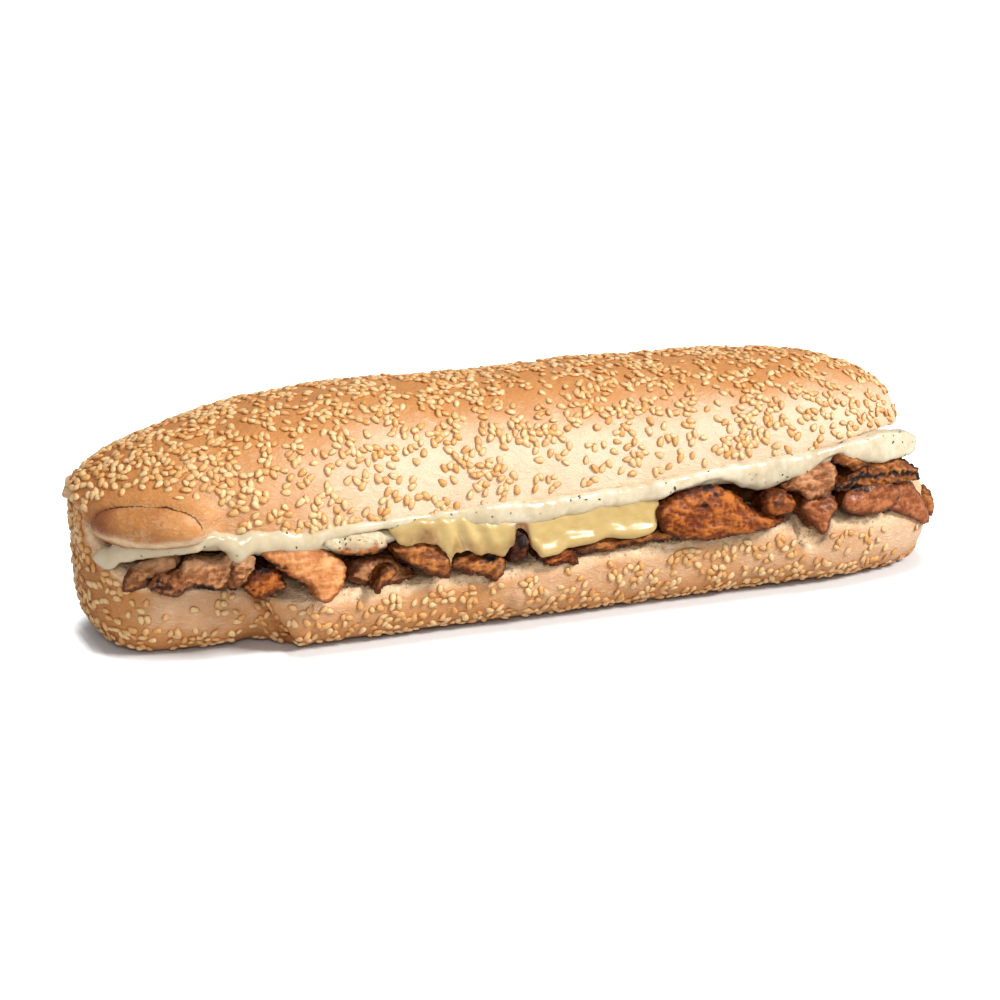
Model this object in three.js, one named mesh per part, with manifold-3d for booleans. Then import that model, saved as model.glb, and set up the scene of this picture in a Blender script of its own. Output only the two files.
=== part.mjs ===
// A hot submarine sandwich: a sesame roll slit along its front and hinged along its back,
// filled with roast chicken, a melted cheese slice and a thick herb sauce.
// Millimetres, +Z up. X runs along the roll and the open mouth faces -Y.
import * as THREE from "three";
import { mergeVertices } from "three/addons/utils/BufferGeometryUtils.js";
import Module from "manifold-3d";

const wasm = await Module();
wasm.setup();

// Driving dimensions of the roll
const HALF_WIDTH = 42;
const CROWN_OVERHANG = 0.7; // how far the upper half stands out beyond the lower where they meet
const CROWN_HEIGHT = 78.6;
const WAIST_HEIGHT = 30;
const BASE_DROP = 1.4; // how far the round underside would reach below the flat it rests on
const SQUARENESS = { below: 4.5, above: 2.25, knob: 3.5 };

// Each half of the roll: its two tips, and how quickly its width, crown and underside fill out from them
const HEEL = {
  left: -152.5,
  right: 160,
  width: { left: [36, 0.42], right: [56, 0.42] },
  rise: { left: [18, 0.22], right: [26, 0.42] },
};
const CROWN = {
  left: -156,
  right: 150.5,
  width: { left: [70, 0.5], right: [64, 0.42] },
  rise: { left: [110, 0.62], right: [76, 0.34] },
};
const LEFT_KNOB = { x: -98, reach: 8, narrower: 0.24 }; // the heel's slimmer left end, past the crease

// The mouth: a wedge that opens to the front and closes on a hinge line near the back
const HINGE = { y: 27, height: 37, overlap: 1.2 };
const LEFT_END = { opensAt: -118, closesAt: -152, hingeY: -5, height: 50 };
const MOUTH = { height: 32.4, slope: 0.047, gap: 20.8, gapSlope: 0.022, wedge: 0.75 };

// Stretches along the roll where the mouth climbs or gapes: how much, and from which x to which
const MOUTH_CLIMBS = [
  { by: 6, from: -88, to: -118 },
  { by: 5, from: -136, to: -152 },
];
const MOUTH_GAPES = [
  { by: 8.5, from: 92, to: 136 },
  { by: -5, from: -125, to: -152 },
];

// Marks on the crust
const CREASE = { x: -97, width: 6, depth: 7, top: 24 };
const TEAR = { at: [97, -43, 25], radii: [6.5, 10, 10] };
const LOBE = { at: [-131.8, -24.1, 46.4], radii: [20, 14, 7.4], turn: [0, 0, -41] };
const LOBE_SOCKET = { at: [-134.5, -27, 46.8], radii: [22.5, 9.8, 8.6], turn: [0, 0, -41] };

// The filling: layers stacked down from the upper crumb, each with its depth and its share of the gap
const GAP = 0.4;
const CRUMB_CLEARANCE = 0.8;
const LAYER_CLEARANCE = 0.6;
const LIP_BEND = 4.2;
const SAUCE = { left: -148.5, right: 152.5, back: 6, depth: 4.4, share: 0.3, hang: 6 };
const SAUCE_SLAB = { by: 0.5, from: 100, to: 135 }; // the thicker slab of sauce at the right end
const CHEESE = { left: -60, right: 40, back: 8, depth: 3, share: 0.2, hang: 6, front: -44.5 };
const BED = { left: -128, right: 144, front: -26, back: 14 };

// Drips and thin stretches along the sauce's lower edge: where, how wide and how deep
const SAUCE_DRIPS = [
  { x: -146, width: 5, by: 11 },
  { x: -128, width: 8, by: -1 },
  { x: -115, width: 4, by: -3 },
  { x: -107.5, width: 4.5, by: 4 },
  { x: -66, width: 12, by: -2.5 },
  { x: 15, width: 14, by: 1.5 },
  { x: 52, width: 9, by: -3.5 },
  { x: 76, width: 9, by: 5 },
  { x: 106, width: 6, by: -3.5 },
  { x: 130, width: 12, by: 4 },
];

// Folds and long steps along the cheese's lower edge
const CHEESE_FOLDS = [
  { x: -38, width: 3, by: 4 },
  { x: -14.5, width: 3, by: -7 },
  { x: -1.5, width: 7, by: 5.5 },
];
const CHEESE_HEM = [
  { by: 6.5, from: -52, to: -38 },
  { by: 3, from: -26, to: -8 },
  { by: 2.5, from: 5, to: 25 },
];

// Mesh fineness: facets around and along each shape
const FACETS = {
  heel: [20, 30],
  crown: [24, 32],
  lobe: [12, 10],
  tear: [10, 8],
  bed: [8, 14],
  sauce: [10, 32],
  cheese: [10, 26],
  chicken: [8, 6],
};

// Chicken at the mouth, left to right: centre, size (length, depth, height), turn in degrees, and form.
// square 0.3 is a sharp block and 1 a round lump; bend lifts the ends; taper thins the +X end.
const CHICKEN = [
  { at: [-135, -22, 30], size: [18, 16, 9], turn: [10, 20, -30], square: 0.6, bend: 1, taper: 0.1 },
  { at: [-124, -28, 28], size: [28, 17, 9.5], turn: [14, -2, -12], square: 0.55, bend: -1.5, taper: 0.2 },
  { at: [-110, -33, 28.5], size: [14, 17, 11], turn: [10, 12, 4], square: 0.7, bend: 0, taper: 0.1 },
  { at: [-100.5, -35.5, 26.5], size: [14, 17, 10], turn: [0, -8, 0], square: 0.7, bend: 1, taper: 0.1 },
  { at: [-84, -36.5, 26.5], size: [19, 17, 18], turn: [6, 72, 0], square: 0.5, bend: 1, taper: 0.32 },
  { at: [-71, -37, 36.6], size: [23, 16, 6.5], turn: [16, 6, -4], square: 0.6, bend: -1.5, taper: 0.15 },
  { at: [-62.5, -38.5, 23.8], size: [12, 14, 6], turn: [10, -38, 8], square: 0.6, bend: 0, taper: 0.15 },
  { at: [-64, -31, 27], size: [20, 11, 7], turn: [8, 4, 0], square: 0.6, bend: 0, taper: 0.1 },
  { at: [-49.5, -34, 28.8], size: [25, 17, 8.5], turn: [14, 20, 6], square: 0.42, bend: 0, taper: 0.05 },
  { at: [-28.6, -34.5, 23.8], size: [20, 17, 9.5], turn: [8, 12, -6], square: 0.45, bend: 0, taper: 0.1 },
  { at: [-14.5, -37, 28], size: [6.5, 16, 13], turn: [0, -12, 8], square: 0.6, bend: 0, taper: 0.1 },
  { at: [1, -36, 22.4], size: [17, 15, 6.5], turn: [12, -8, 5], square: 0.6, bend: 1, taper: 0.2 },
  { at: [17.5, -35, 25], size: [19, 15, 5.5], turn: [12, -5, 0], square: 0.65, bend: 0, taper: 0.2 },
  { at: [55.5, -36, 31.5], size: [39, 19, 16], turn: [6, -4, 0], square: 0.6, bend: 1, taper: 0.2 },
  { at: [80.5, -38, 31], size: [17, 15, 10], turn: [0, -14, 6], square: 0.85, bend: 0, taper: -0.1 },
  { at: [96, -38, 26.5], size: [19, 15, 9], turn: [0, 80, 4], square: 0.6, bend: 1, taper: 0.25 },
  { at: [97.5, -36, 39], size: [20, 16, 9], turn: [10, -22, 0], square: 0.6, bend: 1.5, taper: 0.1 },
  { at: [114, -34, 44], size: [18, 15, 5.5], turn: [20, 32, 6], square: 0.5, bend: 1, taper: 0.4 },
  { at: [126, -29, 35.8], size: [45, 18, 6.2], turn: [10, -2, 16], square: 0.55, bend: -1, taper: -0.1 },
  { at: [116, -35.5, 27.8], size: [18, 16, 10], turn: [10, 4, 4], square: 0.5, bend: 0, taper: 0.1 },
  { at: [138.5, -27, 25], size: [27, 17, 9.5], turn: [16, 12, 24], square: 0.45, bend: 1, taper: 0.05 },
  { at: [154.5, -15.5, 22.5], size: [8, 15, 11], turn: [0, -14, 30], square: 0.7, bend: 2, taper: 0.1 },
];

const COLOURS = {
  crust: 0xe9c08c,
  chicken: 0x9a5a2c,
  bed: 0xa8693a,
  cheese: 0xe8d48c,
  sauce: 0xf3eccb,
};

// Small helpers for rules of shape
const clamp01 = (t) => Math.min(1, Math.max(0, t));
const mix = (a, b, t) => a + (b - a) * t;
const signedPower = (t, power) => Math.sign(t) * Math.abs(t) ** power;
const bell = (t, centre, width) => Math.exp(-(((t - centre) / width) ** 2));

function ease(from, to, t) {
  const share = clamp01((t - from) / (to - from));
  return share * share * (3 - 2 * share);
}

const climbs = (steps, x) => steps.reduce((sum, { by, from, to }) => sum + by * ease(from, to, x), 0);
const swells = (bumps, at) => bumps.reduce((sum, { x, width, by }) => sum + by * bell(at, x, width), 0);

// 0 at an end and 1 a reach away from it, round like the end of a loaf
const endRise = (distance, reach, power) => (1 - (1 - clamp01(distance / reach)) ** 2) ** power;

// 1 on the heel's left knob and 0 past the crease
const knobShare = (x) => ease(1, -1, (x - LEFT_KNOB.x) / LEFT_KNOB.reach);

// Half of the roll's width at a station, before the section's own roundness
function halfWidth(half, x) {
  const knob = LEFT_KNOB.narrower * knobShare(x);
  const fromLeft = endRise(x - half.left, ...half.width.left);
  const toRight = endRise(half.right - x, ...half.width.right);
  const widest = half === HEEL ? HALF_WIDTH * (1 - knob) : HALF_WIDTH + CROWN_OVERHANG;
  return widest * fromLeft * toRight;
}

// The line at the back, and near the left end across the roll, where the two halves stay joined
const leftClosing = (x) => ease(LEFT_END.opensAt, LEFT_END.closesAt, x);
const hingeLine = (x) => mix(HINGE.y, LEFT_END.hingeY, leftClosing(x));

// How far open the mouth is at a point: 0 at the hinge line, 1 at the front, below 0 where it is joined
function openness(x, y) {
  const hinge = hingeLine(x);
  const front = x < 0 ? Math.min(-halfWidth(HEEL, x), hinge - 8) : -HALF_WIDTH;
  return Math.min(1, (hinge - y) / (hinge - front));
}

function mouthMiddle(x, y) {
  const front = MOUTH.height + MOUTH.slope * x + climbs(MOUTH_CLIMBS, x);
  const back = mix(HINGE.height, LEFT_END.height, leftClosing(x));
  return mix(back, front, clamp01(openness(x, y)));
}

function mouthGap(x, y) {
  const widest = MOUTH.gap + MOUTH.gapSlope * x + climbs(MOUTH_GAPES, x);
  const open = openness(x, y);
  return open > 0 ? widest * open ** MOUTH.wedge : -HINGE.overlap * clamp01(-10 * open);
}

const lowerCrumb = (x, y) => mouthMiddle(x, y) - mouthGap(x, y) / 2;
const upperCrumb = (x, y) => mouthMiddle(x, y) + mouthGap(x, y) / 2;

// Outer skin of the roll at one station: angle 0 faces the front, a quarter turn is straight up
function skinPoint(station, angle) {
  const across = Math.cos(angle);
  const upward = Math.sin(angle);
  const squareness = upward < 0 ? station.squareness : SQUARENESS.above;
  const reach = upward < 0 ? station.waist - station.bottom : station.top - station.waist;
  const z = station.waist + reach * signedPower(upward, 2 / squareness);
  const front = across > 0 ? 1 : 0;
  const pinch = front * station.crease * ease(CREASE.top, 0, z);
  const y = -station.halfWidth * signedPower(across, 2 / squareness) + pinch;
  return [y, Math.max(z, 0)];
}

function station(half, crumb, x) {
  const fromLeft = x - half.left;
  const toRight = half.right - x;
  const crownShare = endRise(fromLeft, ...CROWN.rise.left) * endRise(toRight, ...CROWN.rise.right);
  const baseShare = endRise(fromLeft, ...HEEL.rise.left) * endRise(toRight, ...HEEL.rise.right);
  const tip = crumb(x < 0 ? half.left : half.right, 0);
  const waist = mix(Math.max(tip, WAIST_HEIGHT), WAIST_HEIGHT, baseShare);
  return {
    x,
    halfWidth: halfWidth(half, x),
    top: mix(Math.max(tip, waist), CROWN_HEIGHT, crownShare),
    waist: half === CROWN ? WAIST_HEIGHT : waist,
    bottom: mix(tip, -BASE_DROP, baseShare),
    squareness: mix(SQUARENESS.below, SQUARENESS.knob, knobShare(x)),
    crease: CREASE.depth * bell(x, CREASE.x, CREASE.width),
  };
}

// The angle at which the skin meets a crumb surface, found by halving; side is 0 at the front, 1 at the back
function rimAngle(section, crumb, side) {
  let low = -Math.PI / 2;
  let high = Math.PI / 2;
  for (let step = 0; step < 40; step++) {
    const middle = (low + high) / 2;
    const angle = side ? Math.PI - middle : middle;
    const [y, z] = skinPoint(section, angle);
    if (z < crumb(section.x, y)) low = middle;
    else high = middle;
  }
  return side ? Math.PI - low : low;
}

// A closed skin over a sphere's grid: u runs bottom, back, top, front; v from the right end to the left
function loft([around, along], place) {
  const geometry = new THREE.SphereGeometry(1, around, along);
  const { uv, position } = geometry.attributes;
  for (let i = 0; i < uv.count; i++) {
    position.setXYZ(i, ...place(uv.getX(i), 1 - uv.getY(i)));
  }
  return solidFrom(geometry);
}

function solidFrom(geometry) {
  geometry.deleteAttribute("normal");
  geometry.deleteAttribute("uv");
  const merged = mergeVertices(geometry, 1e-3);
  const solid = new wasm.Mesh({
    numProp: 3,
    vertProperties: merged.attributes.position.array,
    triVerts: new Uint32Array(merged.index.array),
  });
  return new wasm.Manifold(solid);
}

function geometryFrom(solid) {
  const mesh = solid.getMesh();
  const geometry = new THREE.BufferGeometry();
  geometry.setAttribute("position", new THREE.BufferAttribute(mesh.vertProperties, 3));
  geometry.setIndex(new THREE.BufferAttribute(mesh.triVerts, 1));
  geometry.computeVertexNormals();
  return geometry;
}

// The solid with its skin moved outwards, which cuts a neighbour back to leave a clearance
function grown(solid, distance = GAP) {
  const geometry = geometryFrom(solid);
  const { position, normal } = geometry.attributes;
  for (let i = 0; i < position.count; i++) {
    position.setXYZ(
      i,
      position.getX(i) + normal.getX(i) * distance,
      position.getY(i) + normal.getY(i) * distance,
      position.getZ(i) + normal.getZ(i) * distance,
    );
  }
  return solidFrom(geometry);
}

function largest(solid) {
  const bodies = solid.decompose();
  return bodies.reduce((best, body) => (body.volume() > best.volume() ? body : best));
}

function boxesMeet(one, other) {
  const a = one.boundingBox();
  const b = other.boundingBox();
  return [0, 1, 2].every((axis) => a.min[axis] < b.max[axis] && b.min[axis] < a.max[axis]);
}

// Each thing laid in the roll is cut back from all that is there already, and then takes up its own room
class Room {
  constructor(solid) {
    this.taken = [grown(solid), solid];
  }

  lay(solid) {
    const near = this.taken.filter((other) => boxesMeet(solid, other));
    const body = largest(near.reduce((left, other) => left.subtract(other), solid));
    this.taken.push(grown(body), body);
    return body;
  }
}

// Stations lie closer together towards both ends, where the loaf curves in
function stationX(half, v) {
  const t = 1 - 2 * v;
  const spread = 0.35 * t + 0.65 * Math.sin((t * Math.PI) / 2);
  return mix(half.left, half.right, (1 + spread) / 2);
}

const SKIN_SHARE = 0.7; // share of a half's ring that lies on the crust, the rest is on the crumb

function rollHalf(half, crumb, facets, upper) {
  return loft(facets, (u, v) => {
    const section = station(half, crumb, stationX(half, v));
    const front = rimAngle(section, crumb, 0);
    const back = rimAngle(section, crumb, 1);
    const [first, last] = upper ? [back, front] : [front, back - 2 * Math.PI];
    if (u <= SKIN_SHARE) {
      return [section.x, ...skinPoint(section, mix(first, last, u / SKIN_SHARE))];
    }
    const from = skinPoint(section, last)[0];
    const to = skinPoint(section, first)[0];
    const y = mix(from, to, (u - SKIN_SHARE) / (1 - SKIN_SHARE));
    return [section.x, y, crumb(section.x, y)];
  });
}

function ellipsoid(facets, { radii, at, turn = [0, 0, 0] }) {
  const geometry = new THREE.SphereGeometry(1, ...facets);
  const angles = turn.map(THREE.MathUtils.degToRad);
  geometry.scale(...radii);
  geometry.applyMatrix4(new THREE.Matrix4().makeRotationFromEuler(new THREE.Euler(...angles)));
  geometry.translate(...at);
  return solidFrom(geometry);
}

function breadRoll() {
  const heel = rollHalf(HEEL, lowerCrumb, FACETS.heel, false);
  const crown = rollHalf(CROWN, upperCrumb, FACETS.crown, true);
  const socket = ellipsoid(FACETS.lobe, LOBE_SOCKET);
  const lobe = ellipsoid(FACETS.lobe, LOBE);
  const tear = ellipsoid(FACETS.tear, TEAR);
  return largest(crown.subtract(socket).add(heel.subtract(tear)).add(lobe));
}

// Depth of the layers, thinner towards the hinge where the mouth closes
function sauceDepth(x, y) {
  const whole = SAUCE.depth * (1 + climbs([SAUCE_SLAB], x));
  return Math.min(whole, SAUCE.share * mouthGap(x, y));
}

const cheeseDepth = (x, y) => Math.min(CHEESE.depth, CHEESE.share * mouthGap(x, y));
const sauceUnderside = (x, y) => upperCrumb(x, y) - CRUMB_CLEARANCE - sauceDepth(x, y);
const cheeseUnderside = (x, y) => sauceUnderside(x, y) - LAYER_CLEARANCE - cheeseDepth(x, y);

// Meat that runs back into the roll, from the front pieces to the hinge
function chickenBed() {
  return loft(FACETS.bed, (u, v) => {
    const angle = u * 2 * Math.PI;
    const t = 1 - 2 * v;
    const x = mix(BED.left, BED.right, (1 + t) / 2);
    const taper = (1 - t ** 6) ** 0.5;
    const back = Math.min(BED.back, hingeLine(x) - 14);
    const y = mix(BED.front, back, 0.5 + 0.5 * taper * signedPower(Math.sin(angle), 0.5));
    const share = 0.5 - 0.5 * taper * signedPower(Math.cos(angle), 0.5);
    const lowest = lowerCrumb(x, y) + CRUMB_CLEARANCE;
    const highest = Math.max(cheeseUnderside(x, y) - LAYER_CLEARANCE, lowest + 0.5);
    return [x, y, mix(lowest, highest, share)];
  });
}

// A layer that lies in the mouth and hangs over its front as a lip. path(x, t) is its middle line, from
// the inside at t 0 to the lip's lower edge at t 1, and depth(x, y, t) its full thickness there.
function drape(facets, layer, path, depth) {
  const step = 0.02;
  return loft(facets, (u, v) => {
    const angle = u * 2 * Math.PI;
    const t = 1 - 2 * v;
    const x = mix(layer.left, layer.right, (1 + t) / 2);
    const taper = (1 - t ** 16) ** 0.4;
    const along = clamp01(0.5 - 0.5 * taper * signedPower(Math.sin(angle), 0.8));
    const [y, z] = path(x, along);
    const [y0, z0] = path(x, Math.max(0, along - step));
    const [y1, z1] = path(x, Math.min(1, along + step));
    const length = Math.hypot(y1 - y0, z1 - z0);
    const half = 0.5 * depth(x, y, along) * taper * signedPower(Math.cos(angle), 0.6);
    return [x, y - ((z1 - z0) / length) * half, z + ((y1 - y0) / length) * half];
  });
}

// Middle line of a layer: along the mouth, round a bend at the front and down to the lip's edge
function lipPath(back, frontAt, levelAt, edgeAt) {
  const inside = 0.55;
  return (x, t) => {
    const start = frontAt(x) + LIP_BEND;
    const deepest = Math.max(Math.min(back, hingeLine(x) - 8), start + 2);
    const y = mix(deepest, start, clamp01(t / inside));
    const level = levelAt(x, y);
    if (t <= inside) return [y, level];
    const drop = Math.max(level - edgeAt(x), 0.5);
    const turn = drop < LIP_BEND ? Math.acos(1 - drop / LIP_BEND) : Math.PI / 2;
    const hang = Math.max(drop - LIP_BEND, 0);
    const run = ((t - inside) / (1 - inside)) * (LIP_BEND * turn + hang);
    const angle = Math.min(run / LIP_BEND, turn);
    const fall = LIP_BEND * (1 - Math.cos(angle)) + Math.max(run - LIP_BEND * turn, 0);
    return [start - LIP_BEND * Math.sin(angle), level - fall];
  };
}

// How far each lip hangs below the crown's
const sauceHang = (x) => SAUCE.hang + swells(SAUCE_DRIPS, x);
const cheeseHang = (x) => CHEESE.hang + swells(CHEESE_FOLDS, x) + climbs(CHEESE_HEM, x);

function cheeseSlice() {
  const front = (x) => CHEESE.front + 0.5 * Math.sin(x / 6);
  const level = (x, y) => cheeseUnderside(x, y) + cheeseDepth(x, y) / 2;
  const edge = (x) => upperCrumb(x, -HALF_WIDTH) - cheeseHang(x);
  return drape(FACETS.cheese, CHEESE, lipPath(CHEESE.back, front, level, edge), cheeseDepth);
}

function herbSauce() {
  const front = (x) => -Math.max(halfWidth(HEEL, x), halfWidth(CROWN, x)) - 0.6 + 0.6 * Math.sin(x / 8.5);
  const level = (x, y) => sauceUnderside(x, y) + sauceDepth(x, y) / 2;
  const edge = (x) => upperCrumb(x, front(x)) - CRUMB_CLEARANCE - sauceHang(x);
  const bead = (x, y, t) => sauceDepth(x, y) * (1 + 0.25 * ease(0.65, 0.95, t));
  return drape(FACETS.sauce, SAUCE, lipPath(SAUCE.back, front, level, edge), bead);
}

// One piece of chicken about its own centre: a lump or block, bent along its length and thinned to one end
function chickenPiece({ size, square, bend, taper }, index) {
  const [length, depth, height] = size;
  return loft(FACETS.chicken, (u, v) => {
    const around = u * 2 * Math.PI;
    const along = v * Math.PI;
    const ring = Math.abs(Math.sin(along)) ** square;
    const x = 0.5 * length * signedPower(Math.cos(along), square);
    const end = (2 * x) / length;
    const uneven = 1 + 0.1 * Math.sin(3 * around + index) * ring + 0.06 * Math.sin(5 * end + 2 * index);
    const scale = 0.5 * ring * (1 - taper * end) * uneven;
    const y = depth * scale * signedPower(Math.sin(around), square);
    const z = -height * scale * signedPower(Math.cos(around), square) + bend * (end * end - 0.4);
    return [x, y, z];
  });
}

function turnMatrix({ at, turn }) {
  const euler = new THREE.Euler(...turn.map(THREE.MathUtils.degToRad));
  return new THREE.Matrix4().makeRotationFromEuler(euler).setPosition(...at);
}

function moved(solid, matrix) {
  return solidFrom(geometryFrom(solid).applyMatrix4(matrix));
}

function dressed(name, solid, colour, roughness) {
  const material = new THREE.MeshStandardMaterial({ color: colour, roughness, metalness: 0 });
  const mesh = new THREE.Mesh(geometryFrom(solid), material);
  mesh.name = name;
  return mesh;
}

const bread = breadRoll();
const room = new Room(bread);
const bed = room.lay(chickenBed());
const pieces = CHICKEN.map((piece, index) => room.lay(moved(chickenPiece(piece, index), turnMatrix(piece))));
const cheese = room.lay(cheeseSlice());
const sauce = room.lay(herbSauce());

const sandwich = new THREE.Group();
sandwich.add(dressed("bread_roll", bread, COLOURS.crust, 0.75));
sandwich.add(dressed("chicken_bed", bed, COLOURS.bed, 0.55));
pieces.forEach((piece, index) => {
  const number = String(index + 1).padStart(2, "0");
  sandwich.add(dressed(`chicken_${number}`, piece, COLOURS.chicken, 0.45));
});
sandwich.add(dressed("cheese_slice", cheese, COLOURS.cheese, 0.35));
sandwich.add(dressed("herb_sauce", sauce, COLOURS.sauce, 0.3));

// The origin is under the middle of the whole sandwich, on the surface it rests on
const extent = new THREE.Box3().setFromObject(sandwich);
const middle = extent.getCenter(new THREE.Vector3());
sandwich.position.set(-middle.x, -middle.y, -extent.min.z);

export default sandwich;
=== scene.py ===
"""Looks of a hot submarine sandwich: seeded roll, roast chicken, melted cheese and herb sauce."""
import itertools
import logging
import math
from dataclasses import dataclass
from enum import Enum
from typing import Callable, Sequence

import bmesh
import bpy
import numpy as np
from mathutils import Euler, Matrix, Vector
from mathutils.kdtree import KDTree


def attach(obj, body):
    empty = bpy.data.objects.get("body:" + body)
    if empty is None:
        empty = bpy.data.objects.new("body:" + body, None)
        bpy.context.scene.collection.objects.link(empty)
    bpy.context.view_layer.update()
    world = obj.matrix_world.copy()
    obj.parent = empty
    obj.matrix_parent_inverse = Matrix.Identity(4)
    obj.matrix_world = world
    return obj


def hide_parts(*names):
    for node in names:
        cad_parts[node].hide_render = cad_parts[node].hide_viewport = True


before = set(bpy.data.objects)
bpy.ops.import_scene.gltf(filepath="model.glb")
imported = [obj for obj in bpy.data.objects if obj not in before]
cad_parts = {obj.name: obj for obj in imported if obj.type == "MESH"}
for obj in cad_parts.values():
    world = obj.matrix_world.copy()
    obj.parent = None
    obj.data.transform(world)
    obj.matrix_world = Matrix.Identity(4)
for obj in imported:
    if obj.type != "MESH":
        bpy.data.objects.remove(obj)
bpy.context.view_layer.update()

log = logging.getLogger("sandwich")
Colour = tuple[float, float, float]
Array = np.ndarray
Socket = bpy.types.NodeSocket
Faces = list[tuple[int, ...]]
Solid = tuple[Array, Faces]
Spots = tuple[Array, Array, Array]
Place = Callable[[Array, Array], Spots]
Height = Callable[[Array, Array], Array]
Line = Callable[[Array, Array], tuple[Array, Array]]

# Shapes are worked out in millimetres about the roll's own middle, and shifted into the frame
SHIFT = np.array([-2.0, 2.35, 0.0])
MM = 0.001
BODY = "root"
BLACK: Colour = (0.0, 0.0, 0.0)
WHITE: Colour = (1.0, 1.0, 1.0)


# Rules of shape

def ease(start: float, end: float, t: Array) -> Array:
    """Smooth step of t from 0 at start to 1 at end."""
    share = np.clip((t - start) / (end - start), 0.0, 1.0)
    return share * share * (3.0 - 2.0 * share)


def mix(a: Array, b: Array, t: Array) -> Array:
    """Straight blend from a at t 0 to b at t 1."""
    return a + (b - a) * t


def bell(t: Array, centre: float, width: float) -> Array:
    """A smooth bump of height 1 about a centre."""
    return np.exp(-(((t - centre) / width) ** 2))


def signed_power(t: Array, power: Array) -> Array:
    """The power of a number's size, with its sign kept."""
    return np.sign(t) * np.abs(t) ** power


def end_rise(distance: Array, reach: float, power: float) -> Array:
    """0 at an end and 1 a reach away from it, round like the end of a loaf."""
    return (1.0 - (1.0 - np.clip(distance / reach, 0.0, 1.0)) ** 2) ** power


def ripple(points: Array, size: float, seed: int, octaves: int = 1) -> Array:
    """Seeded smooth noise over points.

    Args:
        points: places, one row each.
        size: how far apart the bumps are, in the points' unit.
        seed: which noise.
        octaves: how many finer layers are added, each half as high.

    Returns:
        One value a point, about -1 to 1.
    """
    dice = np.random.default_rng(seed)
    table = dice.permutation(256)
    slopes = dice.normal(size=(256, 3))
    total = np.zeros(len(points))
    for octave in range(octaves):
        spot = points / size * 2.0**octave + 17.3 * octave
        cell = np.floor(spot).astype(int)
        inside = spot - cell
        fade = inside**3 * (inside * (inside * 6.0 - 15.0) + 10.0)
        for corner in itertools.product((0, 1), repeat=3):
            at = (cell + corner) & 255
            pick = table[(table[(table[at[:, 0]] + at[:, 1]) & 255] + at[:, 2]) & 255]
            weight = np.where(np.array(corner) == 1, fade, 1.0 - fade).prod(axis=1)
            total += 0.5**octave * weight * ((inside - corner) * slopes[pick]).sum(axis=1)
    return total


def flowing(x: Array, places: Array, heights: Array) -> Array:
    """Heights of a soft edge between measured ones, level at each measured place.

    Args:
        x: stations along the roll.
        places: measured stations.
        heights: measured heights.

    Returns:
        One height a station.
    """
    step = np.clip(np.searchsorted(places, x) - 1, 0, len(places) - 2)
    share = ease(0.0, 1.0, (x - places[step]) / (places[step + 1] - places[step]))
    return mix(heights[step], heights[step + 1], share)


def turned(turn: Sequence[float]) -> Array:
    """Rotation matrix of three angles in degrees, about X, then Y, then Z of the turned piece.

    Args:
        turn: the three angles.

    Returns:
        The matrix.
    """
    x, y, z = (math.radians(angle) for angle in turn)
    singles = ((x, 0.0, 0.0), (0.0, y, 0.0), (0.0, 0.0, z))
    first, second, third = (Euler(single).to_matrix() for single in singles)
    return np.array(first @ second @ third)


@dataclass(frozen=True)
class Ball:
    """A turned ellipsoid, which a bulge, a hollow or a mark is shaped by."""

    at: tuple[float, float, float]
    radii: tuple[float, float, float]
    turn: tuple[float, float, float] = (0.0, 0.0, 0.0)

    def local(self, points: Array) -> Array:
        """The points in the ball's own space, where it is a unit sphere."""
        return (points - np.array(self.at)) @ turned(self.turn) / np.array(self.radii)

    def depth(self, points: Array) -> Array:
        """Distance from the middle, where 1 is the ball's skin."""
        return np.linalg.norm(self.local(points), axis=-1)

    def world(self, local: Array) -> Array:
        """Places of points given in the ball's own space."""
        return (local * np.array(self.radii)) @ turned(self.turn).T + np.array(self.at)

    def hollowed(self, points: Array, eye: Sequence[float]) -> Array:
        """Pushes the points inside the ball on to its far wall, as seen from a point outside the crust.

        Args:
            points: places on a crust.
            eye: where the push comes from, inside the ball.

        Returns:
            The places with the hollow pressed in.
        """
        spot = self.local(points)
        start = self.local(np.array(eye, dtype=float))
        ray = spot - start
        ray = ray / np.maximum(np.linalg.norm(ray, axis=-1, keepdims=True), 1e-9)
        along = (ray * start).sum(axis=-1)
        reach = -along + np.sqrt(np.maximum(along**2 - (start * start).sum() + 1.0, 0.0))
        inside = np.linalg.norm(spot, axis=-1) < 1.0
        moved = self.world(start + ray * reach[..., None])
        return np.where(inside[..., None], moved, points)


# Meshes

def to_frame(points: Array) -> Array:
    """Places in metres in the frame, from millimetres about the roll's middle."""
    return (points + SHIFT) * MM


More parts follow.
